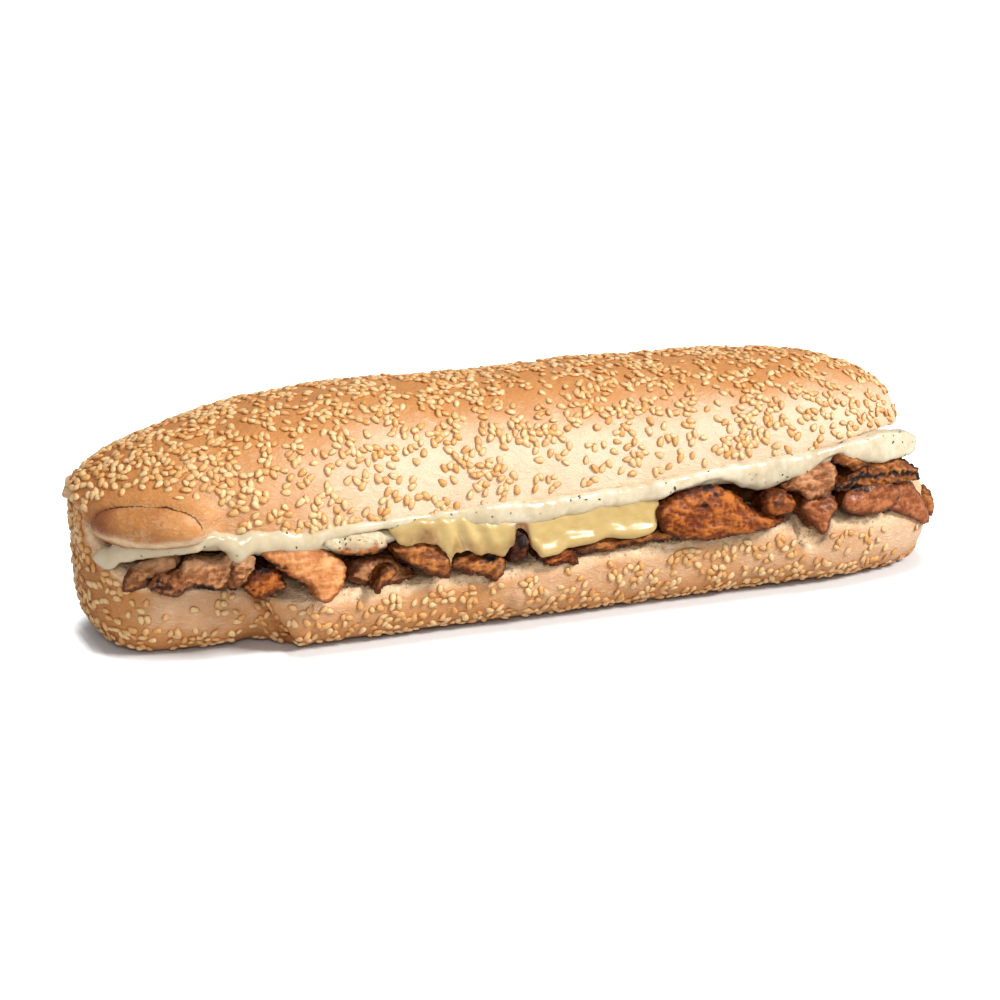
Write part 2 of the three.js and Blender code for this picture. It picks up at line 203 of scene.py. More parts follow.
class Skin:
    """A mesh object's points, normals and point values, in millimetres about the roll's middle."""

    def __init__(self, thing: bpy.types.Object) -> None:
        """Reads the object's mesh.

        Args:
            thing: the mesh object.
        """
        self.thing = thing
        self.mesh = thing.data
        self.read()

    def read(self) -> None:
        """Reads places and normals again, after a change."""
        count = len(self.mesh.vertices)
        places = np.empty(count * 3)
        self.mesh.vertices.foreach_get("co", places)
        self.points = places.reshape(-1, 3) / MM - SHIFT
        normals = np.empty(count * 3, dtype=np.float32)
        self.mesh.vertex_normals.foreach_get("vector", normals)
        self.normals = normals.reshape(-1, 3).astype(float)

    def move(self, points: Array) -> None:
        """Puts the points at new places.

        Args:
            points: places in millimetres.
        """
        self.mesh.vertices.foreach_set("co", to_frame(points).ravel())
        self.mesh.update()
        self.read()

    def raise_by(self, height: Array) -> None:
        """Moves each point along its normal."""
        self.move(self.points + self.normals * height[:, None])

    def store(self, name: str, values: Array) -> None:
        """Keeps a value a point under a name that materials and scatters read."""
        data = self.mesh.attributes.get(name) or self.mesh.attributes.new(name, "FLOAT", "POINT")
        data.data.foreach_set("value", np.asarray(values, dtype=np.float32))

    def softened(self, values: Array, steps: int) -> Array:
        """Spreads point values over their neighbours.

        Args:
            values: one value a point.
            steps: how many times they are spread.

        Returns:
            The spread values.
        """
        pairs = np.empty(len(self.mesh.edges) * 2, dtype=np.int64)
        self.mesh.edges.foreach_get("vertices", pairs)
        one, other = pairs.reshape(-1, 2).T
        size = len(values)
        count = np.bincount(one, minlength=size) + np.bincount(other, minlength=size)
        for _ in range(steps):
            total = np.bincount(one, values[other], size) + np.bincount(other, values[one], size)
            values = 0.5 * values + 0.5 * total / np.maximum(count, 1)
        return values


def loft(around: int, along: int, place: Place) -> Solid:
    """A closed tube of rings that end in two points.

    Args:
        around: points in a ring.
        along: steps from end to end.
        place: gives x, y and z for u, round the ring, and v, along the tube.

    Returns:
        Points and faces.
    """
    u = np.arange(around)[None, :] / around
    v = np.linspace(0.0, 1.0, along + 1)[:, None]
    grid = np.stack(np.broadcast_arrays(*place(u, v)), axis=-1).reshape(-1, 3)
    faces = []
    for ring, step in itertools.product(range(along), range(around)):
        a = ring * around + step
        b = ring * around + (step + 1) % around
        faces.append((a, b, b + around, a + around))
    return grid, faces


def linked(name: str, data: bpy.types.ID) -> bpy.types.Object:
    """An object of some data, linked to the scene at the origin.

    Args:
        name: the object's name.
        data: its mesh, light or camera.

    Returns:
        The object.
    """
    thing = bpy.data.objects.new(name, data)
    bpy.context.scene.collection.objects.link(thing)
    return thing


def mesh_thing(name: str, parts: Sequence[Solid]) -> bpy.types.Object:
    """A mesh object of one or more closed parts, with outward faces.

    Args:
        name: the object's name.
        parts: points in millimetres and faces of each part.

    Returns:
        The object, linked to the scene, at the origin.
    """
    mesh = bpy.data.meshes.new(name)
    points: list[Array] = []
    faces: Faces = []
    for part_points, part_faces in parts:
        start = sum(len(group) for group in points)
        points.append(part_points)
        faces.extend(tuple(start + i for i in face) for face in part_faces)
    mesh.from_pydata(to_frame(np.concatenate(points)).tolist(), [], faces)
    body = bmesh.new()
    body.from_mesh(mesh)
    bmesh.ops.remove_doubles(body, verts=body.verts, dist=1e-6)
    bmesh.ops.dissolve_degenerate(body, edges=body.edges, dist=1e-7)
    bmesh.ops.recalc_face_normals(body, faces=body.faces)
    body.to_mesh(mesh)
    body.free()
    return linked(name, mesh)


def settle(thing: bpy.types.Object, name: str) -> bpy.types.Object:
    """A plain mesh object of what an object's modifiers make, which takes its place.

    Args:
        thing: the object with live modifiers, which is removed.
        name: the new object's name.

    Returns:
        The new object.
    """
    graph = bpy.context.evaluated_depsgraph_get()
    mesh = bpy.data.meshes.new_from_object(thing.evaluated_get(graph))
    bpy.data.objects.remove(thing)
    mesh.name = name
    return linked(name, mesh)


def melted(thing: bpy.types.Object, voxel: float, smooth: int) -> bpy.types.Object:
    """One even skin over all of an object's closed parts.

    Args:
        thing: the object, which is replaced.
        voxel: edge of the new faces in millimetres.
        smooth: smoothing steps.

    Returns:
        The new object.
    """
    name = thing.name
    remesh = thing.modifiers.new("even", "REMESH")
    remesh.mode = "VOXEL"
    remesh.voxel_size = voxel * MM
    soften = thing.modifiers.new("soften", "SMOOTH")
    soften.factor = 0.5
    soften.iterations = smooth
    return settle(thing, name)


def finish_piece(thing: bpy.types.Object, material: bpy.types.Material, slot: str, *nodes: str) -> None:
    """Dresses a finished piece, sets it on the body and hides the CAD nodes that it replaces.

    Args:
        thing: the finished object.
        material: its finish.
        slot: not used.
        nodes: CAD nodes that it replaces.
    """
    thing.data.materials.clear()
    thing.data.materials.append(material)
    thing.data.shade_smooth()
    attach(thing, BODY)
    if nodes:
        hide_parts(*nodes)
    log.info("%s: %d faces", thing.name, len(thing.data.polygons))


# Shape of the roll and its mouth

@dataclass(frozen=True)
class HalfForm:
    """One half of the roll: its tips, how quickly it widens from each, and its widest half width."""

    left: float
    right: float
    width_left: tuple[float, float]
    width_right: tuple[float, float]
    widest: float


@dataclass(frozen=True)
class RollForm:
    """The roll's outline and the wedge-shaped mouth that is cut into it."""

    heel: HalfForm = HalfForm(-152.5, 160.0, (36.0, 0.42), (56.0, 0.42), 42.0)
    crown: HalfForm = HalfForm(-156.0, 150.5, (70.0, 0.5), (64.0, 0.42), 42.7)
    crown_rise: tuple[tuple[float, float], tuple[float, float]] = ((110.0, 0.62), (76.0, 0.34))
    base_rise: tuple[tuple[float, float], tuple[float, float]] = ((18.0, 0.22), (26.0, 0.42))
    crown_height: float = 78.6
    waist_height: float = 30.0
    base_drop: float = 1.4
    square_below: float = 4.5
    square_above: float = 2.25
    square_knob: float = 3.5
    crease_x: float = -97.0
    crease_width: float = 6.0
    crease_depth: float = 7.0
    crease_top: float = 24.0
    hinge_y: float = 27.0
    hinge_height: float = 37.0
    left_hinge_y: float = -5.0
    left_height: float = 50.0
    knob_x: float = -98.0
    knob_blend: float = 8.0
    knob_slim: float = 0.24
    mouth_height: float = 32.4
    mouth_slope: float = 0.047
    mouth_gap: float = 20.8
    gap_slope: float = 0.022

    def knob(self, x: Array) -> Array:
        """1 on the slimmer left end of the lower half, 0 past the crease."""
        return ease(1.0, -1.0, (x - self.knob_x) / self.knob_blend)

    def half_width(self, half: HalfForm, x: Array) -> Array:
        """Half of the roll's width at a station.

        Args:
            half: which half of the roll.
            x: stations along the roll.

        Returns:
            One half width a station.
        """
        share = end_rise(x - half.left, *half.width_left) * end_rise(half.right - x, *half.width_right)
        slimmer = 1.0 - self.knob_slim * self.knob(x) if half is self.heel else 1.0
        return half.widest * slimmer * share

    def left_closing(self, x: Array) -> Array:
        """How far the mouth has closed towards the left end."""
        return ease(-118.0, -152.0, x)

    def hinge(self, x: Array) -> Array:
        """The line where the two halves stay joined."""
        return mix(self.hinge_y, self.left_hinge_y, self.left_closing(x))

    def openness(self, x: Array, y: Array) -> Array:
        """How far open the mouth is: 0 at the hinge, 1 at the front, below 0 where it is joined.

        Args:
            x: stations along the roll.
            y: places across the roll.

        Returns:
            One value a place.
        """
        hinge = self.hinge(x)
        slim = np.minimum(-self.half_width(self.heel, x), hinge - 8.0)
        front = np.where(x < 0.0, slim, -self.heel.widest)
        return np.minimum(1.0, (hinge - y) / (hinge - front))

    def middle(self, x: Array, y: Array) -> Array:
        """Height of the mouth's middle.

        Args:
            x: stations along the roll.
            y: places across the roll.

        Returns:
            One height a place.
        """
        front = self.mouth_height + self.mouth_slope * x
        front = front + 6.0 * ease(-88.0, -118.0, x) + 5.0 * ease(-136.0, -152.0, x)
        back = mix(self.hinge_height, self.left_height, self.left_closing(x))
        return mix(back, front, np.clip(self.openness(x, y), 0.0, 1.0))

    def gap(self, x: Array, y: Array) -> Array:
        """Height of the mouth's opening, a little below 0 where the halves are joined.

        Args:
            x: stations along the roll.
            y: places across the roll.

        Returns:
            One height a place.
        """
        widest = self.mouth_gap + self.gap_slope * x
        widest = widest + 8.5 * ease(92.0, 136.0, x) - 5.0 * ease(-125.0, -152.0, x)
        opened = self.openness(x, y)
        joined = -1.2 * np.clip(-10.0 * opened, 0.0, 1.0)
        return np.where(opened > 0.0, widest * np.maximum(opened, 0.0) ** 0.75, joined)

    def lower(self, x: Array, y: Array) -> Array:
        """Height of the lower half's crumb."""
        return self.middle(x, y) - self.gap(x, y) / 2.0

    def upper(self, x: Array, y: Array) -> Array:
        """Height of the upper half's crumb."""
        return self.middle(x, y) + self.gap(x, y) / 2.0

    def section(self, half: HalfForm, x: Array) -> dict[str, Array]:
        """Widths and heights of a half's outline at each station.

        Args:
            half: which half of the roll.
            x: stations along the roll.

        Returns:
            The outline's sizes by name.
        """
        crumb = self.upper if half is self.crown else self.lower
        crown = end_rise(x - half.left, *self.crown_rise[0]) * end_rise(half.right - x, *self.crown_rise[1])
        base = end_rise(x - half.left, *self.base_rise[0]) * end_rise(half.right - x, *self.base_rise[1])
        ends = np.where(x < 0.0, half.left, half.right)
        tip = crumb(ends, np.zeros_like(x))
        waist = mix(np.maximum(tip, self.waist_height), self.waist_height, base)
        return {
            "x": x,
            "half": self.half_width(half, x),
            "top": mix(np.maximum(tip, waist), self.crown_height, crown),
            "waist": np.full_like(x, self.waist_height) if half is self.crown else waist,
            "bottom": mix(tip, -self.base_drop, base),
            "square": mix(self.square_below, self.square_knob, self.knob(x)),
            "crease": self.crease_depth * bell(x, self.crease_x, self.crease_width),
        }

    def outline(self, section: dict[str, Array], angle: Array) -> tuple[Array, Array]:
        """The crust's y and z at an angle, where 0 faces the front and a quarter turn is up.

        Args:
            section: widths and heights by name.
            angle: angles round the outline.

        Returns:
            y and z of the crust.
        """
        across = np.cos(angle)
        upward = np.sin(angle)
        below = upward < 0.0
        square = np.where(below, section["square"], self.square_above)
        reach = np.where(below, section["waist"] - section["bottom"], section["top"] - section["waist"])
        z = section["waist"] + reach * signed_power(upward, 2.0 / square)
        pinch = np.where(across > 0.0, section["crease"] * ease(self.crease_top, 0.0, z), 0.0)
        y = -section["half"] * signed_power(across, 2.0 / square) + pinch
        return y, np.maximum(z, 0.0)

    def rim(self, section: dict[str, Array], crumb: Height, at_back: bool) -> Array:
        """The angle at which the crust meets a crumb surface, found by halving.

        Args:
            section: widths and heights by name.
            crumb: height of the crumb at a place.
            at_back: whether the back's rim is meant.

        Returns:
            One angle a station.
        """
        low = np.full_like(section["x"], -math.pi / 2.0)
        high = -low
        for _ in range(40):
            angle = (low + high) / 2.0
            y, z = self.outline(section, math.pi - angle if at_back else angle)
            under = z < crumb(section["x"], y)
            low = np.where(under, angle, low)
            high = np.where(under, high, angle)
        return math.pi - low if at_back else low

    def half_skin(self, half: HalfForm, around: int, along: int) -> Solid:
        """A closed skin of one half: crust on 0.7 of each ring and crumb on the rest.

        Args:
            half: which half of the roll.
            around: points in a ring.
            along: steps from end to end.

        Returns:
            Points and faces.
        """
        upper = half is self.crown
        crumb = self.upper if upper else self.lower
        crust_share = 0.7

        def place(u: Array, v: Array) -> Spots:
            """A point of the ring at each station.

            Args:
                u: share of the way round the ring.
                v: share of the way along the tube.

            Returns:
                x, y and z of the points.
            """
            t = 1.0 - 2.0 * v
            spread = 0.35 * t + 0.65 * np.sin(t * math.pi / 2.0)
            section = self.section(half, mix(half.left, half.right, (1.0 + spread) / 2.0))
            front = self.rim(section, crumb, False)
            back = self.rim(section, crumb, True)
            first, last = (back, front) if upper else (front, back - 2.0 * math.pi)
            crust_y, crust_z = self.outline(section, mix(first, last, np.clip(u / crust_share, 0.0, 1.0)))
            start = self.outline(section, last)[0]
            end = self.outline(section, first)[0]
            crumb_y = mix(start, end, np.clip((u - crust_share) / (1.0 - crust_share), 0.0, 1.0))
            on_crust = u <= crust_share
            x = np.broadcast_to(section["x"], crumb_y.shape)
            return x, np.where(on_crust, crust_y, crumb_y), np.where(on_crust, crust_z, crumb(x, crumb_y))

        return loft(around, along, place)


# Materials

class Desk:
    """Places and links the nodes of one material or node group."""

    def __init__(self, tree: bpy.types.NodeTree) -> None:
        """Starts on an empty tree."""
        self.tree = tree
        tree.nodes.clear()

    def put(self, socket: Socket, value: object) -> None:
        """Links a socket to another, or sets its value.

        Args:
            socket: the input.
            value: a socket or a plain value.
        """
        if isinstance(value, Socket):
            self.tree.links.new(value, socket)
        elif isinstance(value, tuple) and socket.type == "RGBA":
            socket.default_value = (*value, 1.0)
        elif value is not None:
            socket.default_value = value

    def add(self, kind: str, inputs: dict[str, object] | None = None, **settings: object) -> bpy.types.Node:
        """A node with its settings, and its inputs linked or set by name.

        Args:
            kind: the node's type.
            inputs: sockets or plain values by name.
            settings: the node's own settings.

        Returns:
            The node.
        """
        node = self.tree.nodes.new(kind)
        for name, value in settings.items():
            setattr(node, name, value)
        for name, value in (inputs or {}).items():
            self.put(node.inputs[name], value)
        return node

    def value(self, name: str) -> Socket:
        """A point value that the mesh keeps under a name."""
        return self.add("ShaderNodeAttribute", attribute_name=name).outputs["Fac"]

    def place(self, stretch: tuple[float, float, float] = (1.0, 1.0, 1.0)) -> Socket:
        """Object coordinates, stretched by a factor an axis."""
        coordinates = self.add("ShaderNodeTexCoord").outputs["Object"]
        return self.add("ShaderNodeMapping", {"Vector": coordinates, "Scale": stretch}).outputs["Vector"]

    def noise(self, place: object, scale: object, detail: float = 3.0, rough: float = 0.55) -> Socket:
        """Cloudy noise, 0 to 1."""
        inputs = {"Vector": place, "Scale": scale, "Detail": detail, "Roughness": rough}
        return self.add("ShaderNodeTexNoise", inputs).outputs["Fac"]

    def math(self, operation: str, a: object, b: object = None, clamp: bool = False) -> Socket:
        """A sum on one or two values.

        Args:
            operation: which sum.
            a: the first.
            b: the second.
            clamp: whether the result is held from 0 to 1.

        Returns:
            The result.
        """
        node = self.add("ShaderNodeMath", operation=operation, use_clamp=clamp)
        self.put(node.inputs[0], a)
        self.put(node.inputs[1], b)
        return node.outputs[0]

    def times(self, a: object, b: object, clamp: bool = False) -> Socket:
        """Two values multiplied."""
        return self.math("MULTIPLY", a, b, clamp)

    def plus(self, a: object, b: object) -> Socket:
        """Two values added."""
        return self.math("ADD", a, b)

    def sway(self, value: object, amount: float, middle: float = 0.5) -> Socket:
        """How far a value lies from a middle, times an amount."""
        return self.times(self.math("SUBTRACT", value, middle), amount)

    def vector(self, operation: str, a: object, b: object) -> Socket:
        """A sum on two vectors."""
        return self.add("ShaderNodeVectorMath", {0: a, 1: b}, operation=operation).outputs[0]

    def span(
        self, value: object, low: float, high: float, to_low: float = 0.0, to_high: float = 1.0
    ) -> Socket:
        """A value taken smoothly from one range to another."""
        inputs = {"Value": value, "From Min": low, "From Max": high, "To Min": to_low, "To Max": to_high}
        return self.add("ShaderNodeMapRange", inputs, interpolation_type="SMOOTHSTEP").outputs["Result"]

    def blend(self, factor: object, a: object, b: object) -> Socket:
        """A colour between two colours.

        Args:
            factor: share of the second.
            a: the first.
            b: the second.

        Returns:
            The blended colour.
        """
        node = self.add("ShaderNodeMix", data_type="RGBA")
        self.put(node.inputs[0], factor)
        self.put(node.inputs[6], a)
        self.put(node.inputs[7], b)
        return node.outputs[2]

    def bump(self, height: object, distance: float, strength: float) -> Socket:
        """A normal for fine relief of a given depth in millimetres."""
        inputs = {"Height": height, "Distance": distance * MM, "Strength": strength}
        return self.add("ShaderNodeBump", inputs).outputs["Normal"]


def new_tree(name: str, kind: str, inputs: dict[str, str], outputs: dict[str, str]) -> bpy.types.NodeTree:
    """An empty node group with named sockets.

    Args:
        name: the group's name.
        kind: shader or geometry nodes.
        inputs: the kind of each input, by name.
        outputs: the kind of each output, by name.

    Returns:
        The node group.
    """
    tree = bpy.data.node_groups.new(name, kind)
    for way, sockets in (("INPUT", inputs), ("OUTPUT", outputs)):
        for label, socket in sockets.items():
            tree.interface.new_socket(label, in_out=way, socket_type="NodeSocket" + socket)
    return tree


class SharedEffects:
    """Node groups that several materials use."""

    def __init__(self) -> None:
        """Builds each group once."""
        self.mottle = self.build_mottle()
        self.grit = self.build_grit()

    def build_mottle(self) -> bpy.types.NodeTree:
        """Uneven colour between a low and a high tone, in large patches with finer ones inside.

        Returns:
            The node group.
        """
        inputs = {"Vector": "Vector", "Scale": "Float", "Low": "Color", "High": "Color"}
        tree = new_tree("mottle", "ShaderNodeTree", inputs, {"Color": "Color", "Mask": "Float"})
        desk = Desk(tree)
        given = desk.add("NodeGroupInput").outputs
        broad = desk.noise(given["Vector"], given["Scale"], 4.0, 0.6)
        fine = desk.noise(given["Vector"], desk.times(given["Scale"], 5.3), 3.0, 0.6)
        both = desk.plus(desk.times(broad, 0.65), desk.times(fine, 0.35))
        mask = desk.span(both, 0.32, 0.68)
        desk.add("NodeGroupOutput", {"Color": desk.blend(mask, given["Low"], given["High"]), "Mask": mask})
        return tree

    def build_grit(self) -> bpy.types.NodeTree:
        """Height of fine uneven relief: soft lumps with a finer grain on them.

        Returns:
            The node group.
        """
        inputs = {"Vector": "Vector", "Lumps": "Float", "Grain": "Float"}
        tree = new_tree("grit", "ShaderNodeTree", inputs, {"Height": "Float"})
        desk = Desk(tree)
        given = desk.add("NodeGroupInput").outputs
        lumps = desk.noise(given["Vector"], given["Lumps"], 3.0, 0.5)
        grain = desk.noise(given["Vector"], given["Grain"], 4.0, 0.65)
        desk.add("NodeGroupOutput", {"Height": desk.plus(lumps, desk.times(grain, 0.45))})
        return tree


class Finish:
    """A material being built: its nodes, shared effects and shader."""

    def __init__(self, name: str, effects: SharedEffects) -> None:
        """Starts an empty material with a Principled shader.

        Args:
            name: the material's name.
            effects: the shared node groups.
        """
        self.material = bpy.data.materials.new(name)
        self.material.use_nodes = True
        self.desk = Desk(self.material.node_tree)
        self.effects = effects
        self.shader = self.desk.add("ShaderNodeBsdfPrincipled")
        output = self.desk.add("ShaderNodeOutputMaterial")
        self.desk.put(output.inputs["Surface"], self.shader.outputs["BSDF"])

    def set(self, **values: object) -> None:
        """Links or sets the shader's inputs, with underscores for spaces in their names."""
        for name, value in values.items():
            self.desk.put(self.shader.inputs[name.replace("_", " ")], value)

    def mottle(self, place: object, scale: float, low: object, high: object) -> bpy.types.Node:
        """The shared uneven colour."""
        inputs = {"Vector": place, "Scale": scale, "Low": low, "High": high}
        return self.desk.add("ShaderNodeGroup", inputs, node_tree=self.effects.mottle)

    def patches(self, place: object, scale: float) -> Socket:
        """The shared uneven mask, 0 to 1."""
        return self.mottle(place, scale, BLACK, WHITE).outputs["Mask"]

    def grit(self, place: object, lumps: float, grain: float) -> Socket:
        """The shared relief height."""
        inputs = {"Vector": place, "Lumps": lumps, "Grain": grain}
        return self.desk.add("ShaderNodeGroup", inputs, node_tree=self.effects.grit).outputs["Height"]


@dataclass(frozen=True)
class CrustFinish:
    """Soft baked crust, from pale dough to brown, with white crumb where it is cut."""

    pale: Colour = (0.71, 0.525, 0.355)
    golden: Colour = (0.51, 0.218, 0.064)
    brown: Colour = (0.27, 0.078, 0.018)
    crumb: Colour = (0.86, 0.665, 0.445)
    crumb_shade: Colour = (0.66, 0.40, 0.20)
    # Painted shadow inside the split round the dough bulge.
    crack: Colour = (0.030, 0.010, 0.004)

    def seam(self, desk: Desk, place: Socket) -> Socket:
        """A thin uneven dark line of painted shadow where the dough has split.

        Args:
            desk: where the nodes are placed.
            place: where the pattern is read.

        Returns:
            How dark the line is, 0 to 1.
        """
        wander = desk.sway(desk.noise(place, 170.0, 1.0), 1.3)
        off = desk.math("ABSOLUTE", desk.plus(desk.value("seam"), wander))
        broken = desk.span(desk.noise(place, 330.0, 2.0), 0.30, 0.52, 0.55, 1.0)
        return desk.times(desk.times(desk.value("crack"), broken), desk.span(off, 0.38, 0.05))

    def wrinkle(self, desk: Desk) -> Socket:
        """Height of the fine creases in a soft crust, 1 between them.

        Args:
            desk: where the nodes are placed.

        Returns:
            Heights, 0 to 1.
        """
        broad = desk.noise(desk.place((1.0, 1.0, 2.0)), 260.0, 5.0, 0.62)
        crease = desk.math("ABSOLUTE", desk.math("SUBTRACT", broad, 0.5))
        return desk.span(crease, 0.0, 0.16)

    def crackle(self, desk: Desk, place: Socket) -> Socket:
        """Fine pale lines where a shiny crust has crazed.

        Args:
            desk: where the nodes are placed.
            place: where the pattern is read.

        Returns:
            How strong the lines are, 0 to 1.
        """
        cloud = {"Vector": place, "Scale": 300.0, "Detail": 3.0}
        shift = desk.add("ShaderNodeTexNoise", cloud).outputs["Color"]
        bent = desk.vector("ADD", place, desk.vector("MULTIPLY", shift, (0.004, 0.004, 0.004)))
        inputs = {"Vector": bent, "Scale": 420.0, "Randomness": 1.0}
        cells = desk.add("ShaderNodeTexVoronoi", inputs, feature="DISTANCE_TO_EDGE").outputs["Distance"]
        patchy = desk.times(desk.value("crackle"), desk.span(desk.noise(place, 120.0), 0.42, 0.60))
        return desk.times(patchy, desk.span(cells, 0.22, 0.02))

    def material(self, effects: SharedEffects) -> bpy.types.Material:
        """The crust's material, which reads the point values for browning with painted shade, crumb, seam,
        the split's painted shadow and crackle.

        Args:
            effects: the shared node groups.

        Returns:
            The material.
        """
        look = Finish("baked_crust", effects)
        desk = look.desk
        place = desk.place()
        patch = look.patches(place, 45.0)
        wrinkle = self.wrinkle(desk)
        # The browning value also carries painted shade towards the left end and in the crease.
        uneven = desk.plus(desk.value("bake"), desk.sway(patch, 0.14))
        # Browner down in the fine creases and paler between them: painted shade.
        uneven = desk.math("SUBTRACT", uneven, desk.sway(wrinkle, 0.10, 0.7))
        light = desk.blend(desk.span(uneven, 0.0, 0.62), self.pale, self.golden)
        crust = desk.blend(desk.span(uneven, 0.55, 1.15), light, self.brown)
        crust = desk.blend(desk.times(self.crackle(desk, place), 0.28), crust, self.pale)
        inside = look.mottle(place, 420.0, self.crumb_shade, self.crumb).outputs["Color"]
        crumb = desk.value("crumb")
        bread = desk.blend(crumb, crust, inside)
        height = desk.plus(look.grit(place, 300.0, 1500.0), desk.times(wrinkle, 0.55))
        both = desk.add("ShaderNodeMix", {"Factor": crumb}, data_type="FLOAT")
        desk.put(both.inputs[2], height)
        desk.put(both.inputs[3], desk.times(look.grit(place, 900.0, 2600.0), 2.2))
        look.set(
            # The split's dark line is painted shadow.
            Base_Color=desk.blend(self.seam(desk, place), bread, self.crack),
            Roughness=desk.span(crumb, 0.0, 1.0, 0.54, 0.92),
            Normal=desk.bump(both.outputs[0], 0.34, 0.85),
            Specular_IOR_Level=0.3,
            Subsurface_Weight=0.06,
            Subsurface_Radius=(1.0, 0.55, 0.3),
            Subsurface_Scale=0.002,
        )
        return look.material


@dataclass(frozen=True)
class SeedFinish:
    """Hulled sesame: cream, browned at the tip and rim, with painted shade along the lower rim, some seeds
    darker than others.
    """

    cream: Colour = (0.70, 0.480, 0.230)
    gold: Colour = (0.60, 0.310, 0.092)
    # Brown of the seeds' browned tip and rim, which also stands for painted shade at the lower rim.
    toast_and_shade: Colour = (0.43, 0.140, 0.024)

    def material(self, effects: SharedEffects) -> bpy.types.Material:
        """The seeds' material, which reads the point values tone and edge, where edge carries browning and
        painted shade at the rim.

        Args:
            effects: the shared node groups.

        Returns:
            The material.
        """
        look = Finish("sesame_seed", effects)
        desk = look.desk
        tone = desk.value("tone")
        edge = desk.value("edge")
        body = desk.blend(desk.span(tone, 0.15, 0.95), self.cream, self.gold)
        patch = look.patches(desk.place(), 330.0)
        # Browning at the rim and tip, with painted shade at the lower rim.
        rim_toast_and_shade = desk.times(edge, desk.span(patch, 0.0, 1.0, 0.62, 1.0))
        look.set(
            Base_Color=desk.blend(rim_toast_and_shade, body, self.toast_and_shade),
            Roughness=desk.span(patch, 0.0, 1.0, 0.34, 0.48),
            Normal=desk.bump(look.grit(desk.place(), 900.0, 2800.0), 0.06, 0.6),
            Subsurface_Weight=0.12,
            Subsurface_Radius=(1.0, 0.6, 0.3),
            Subsurface_Scale=0.0012,
        )
        return look.material


class MeatTone(Enum):
    """How one piece of chicken was cooked: its low colour, high colour and browned colour."""

    TAN = ((0.22, 0.074, 0.022), (0.55, 0.255, 0.112), (0.085, 0.021, 0.005))
    LIGHT = ((0.43, 0.150, 0.042), (0.70, 0.320, 0.120), (0.22, 0.060, 0.013))
    BROWN = ((0.15, 0.039, 0.007), (0.46, 0.165, 0.040), (0.055, 0.012, 0.002))
    RED = ((0.15, 0.029, 0.004), (0.48, 0.140, 0.022), (0.050, 0.009, 0.002))
    HAM = ((0.18, 0.048, 0.014), (0.43, 0.145, 0.053), (0.090, 0.022, 0.005))
    DARK = ((0.05, 0.011, 0.003), (0.17, 0.044, 0.009), (0.018, 0.004, 0.002))


@dataclass(frozen=True)
class MeatFinish:
    """Greasy roast chicken with fibres, browned patches and black char."""

    tone: MeatTone
    char: Colour = (0.010, 0.005, 0.004)
    film: Colour = (0.60, 0.515, 0.335)
    fat: Colour = (0.58, 0.320, 0.165)

    def material(self, effects: SharedEffects) -> bpy.types.Material:
        """The meat's material, which reads the point values lump, char, sear and film; lump, the relief's
        height, paints the lumps lighter and the pits darker as painted light and shade.

        Args:
            effects: the shared node groups.

        Returns:
            The material.
        """
        low, high, seared = self.tone.value
        look = Finish("chicken_" + self.tone.name.lower(), effects)
        desk = look.desk
        place = desk.place()
        patch = look.patches(place, 75.0)
        flesh = look.patches(place, 210.0)
        fibre = desk.noise(desk.place((0.35, 1.0, 1.6)), 620.0, 4.0, 0.6)
        # Lighter on the lumps and darker in the pits, following the relief's height: painted light and
        # shade, with random flesh tones and fibres.
        bright = desk.plus(desk.times(flesh, 0.34), desk.times(desk.value("lump"), 0.66))
        bright = desk.plus(bright, desk.sway(fibre, 0.7))
        body = desk.blend(desk.span(bright, 0.12, 0.88), low, high)
        rim = desk.plus(desk.value("sear"), desk.sway(patch, 0.9))
        sear = desk.span(rim, 0.15, 1.0, 0.0, 0.88)
        ragged = desk.plus(desk.value("char"), desk.sway(flesh, 0.45))
        burnt = desk.span(ragged, 0.40, 0.70)
        browned = desk.blend(desk.span(ragged, 0.08, 0.55, 0.0, 0.85), body, seared)
        meat = desk.blend(sear, browned, seared)
        film = desk.times(desk.value("film"), desk.span(patch, 0.0, 1.0, 0.55, 1.0))
        height = desk.plus(look.grit(place, 480.0, 1900.0), fibre)
        height = desk.times(height, desk.span(film, 0.0, 1.0, 1.0, 0.2))
        rough = desk.span(desk.math("SUBTRACT", flesh, burnt), -1.0, 1.0, 0.44, 0.22)
        coating = self.fat if self.tone is MeatTone.TAN else self.film
        look.set(
            Base_Color=desk.blend(film, desk.blend(burnt, meat, self.char), coating),
            Roughness=desk.math("SUBTRACT", rough, desk.times(film, 0.18)),
            Normal=desk.bump(height, 0.40, 0.35 if self.tone is MeatTone.HAM else 0.95),
            Specular_IOR_Level=0.12,
            Coat_Weight=desk.span(burnt, 0.0, 1.0, 0.03, 0.01),
            Coat_Roughness=0.15,
            Subsurface_Weight=0.08,
            Subsurface_Radius=(1.0, 0.4, 0.2),
            Subsurface_Scale=0.002,
        )
        return look.material


@dataclass(frozen=True)
class SauceFinish:
    """Thick glossy white sauce, a little darker where it lies thin."""

    white: Colour = (0.69, 0.600, 0.435)
    shade: Colour = (0.51, 0.410, 0.25)

    def material(self, effects: SharedEffects) -> bpy.types.Material:
        """The sauce's material, which reads the point value thin.

        Args:
            effects: the shared node groups.

        Returns:
            The material.
        """
        look = Finish("herb_sauce", effects)
        desk = look.desk
        place = desk.place()
        cream = look.mottle(place, 60.0, self.shade, self.white)
        thin = desk.value("thin")
        look.set(
            Base_Color=desk.blend(desk.times(thin, 0.75, True), cream.outputs["Color"], self.shade),
            Roughness=desk.span(cream.outputs["Mask"], 0.0, 1.0, 0.16, 0.26),
            Normal=desk.bump(look.grit(place, 160.0, 900.0), 0.12, 0.35),
            Coat_Weight=0.35,
            Coat_Roughness=0.08,
            Subsurface_Weight=0.35,
            Subsurface_Radius=(1.0, 0.85, 0.5),
            Subsurface_Scale=0.003,
        )
        return look.material


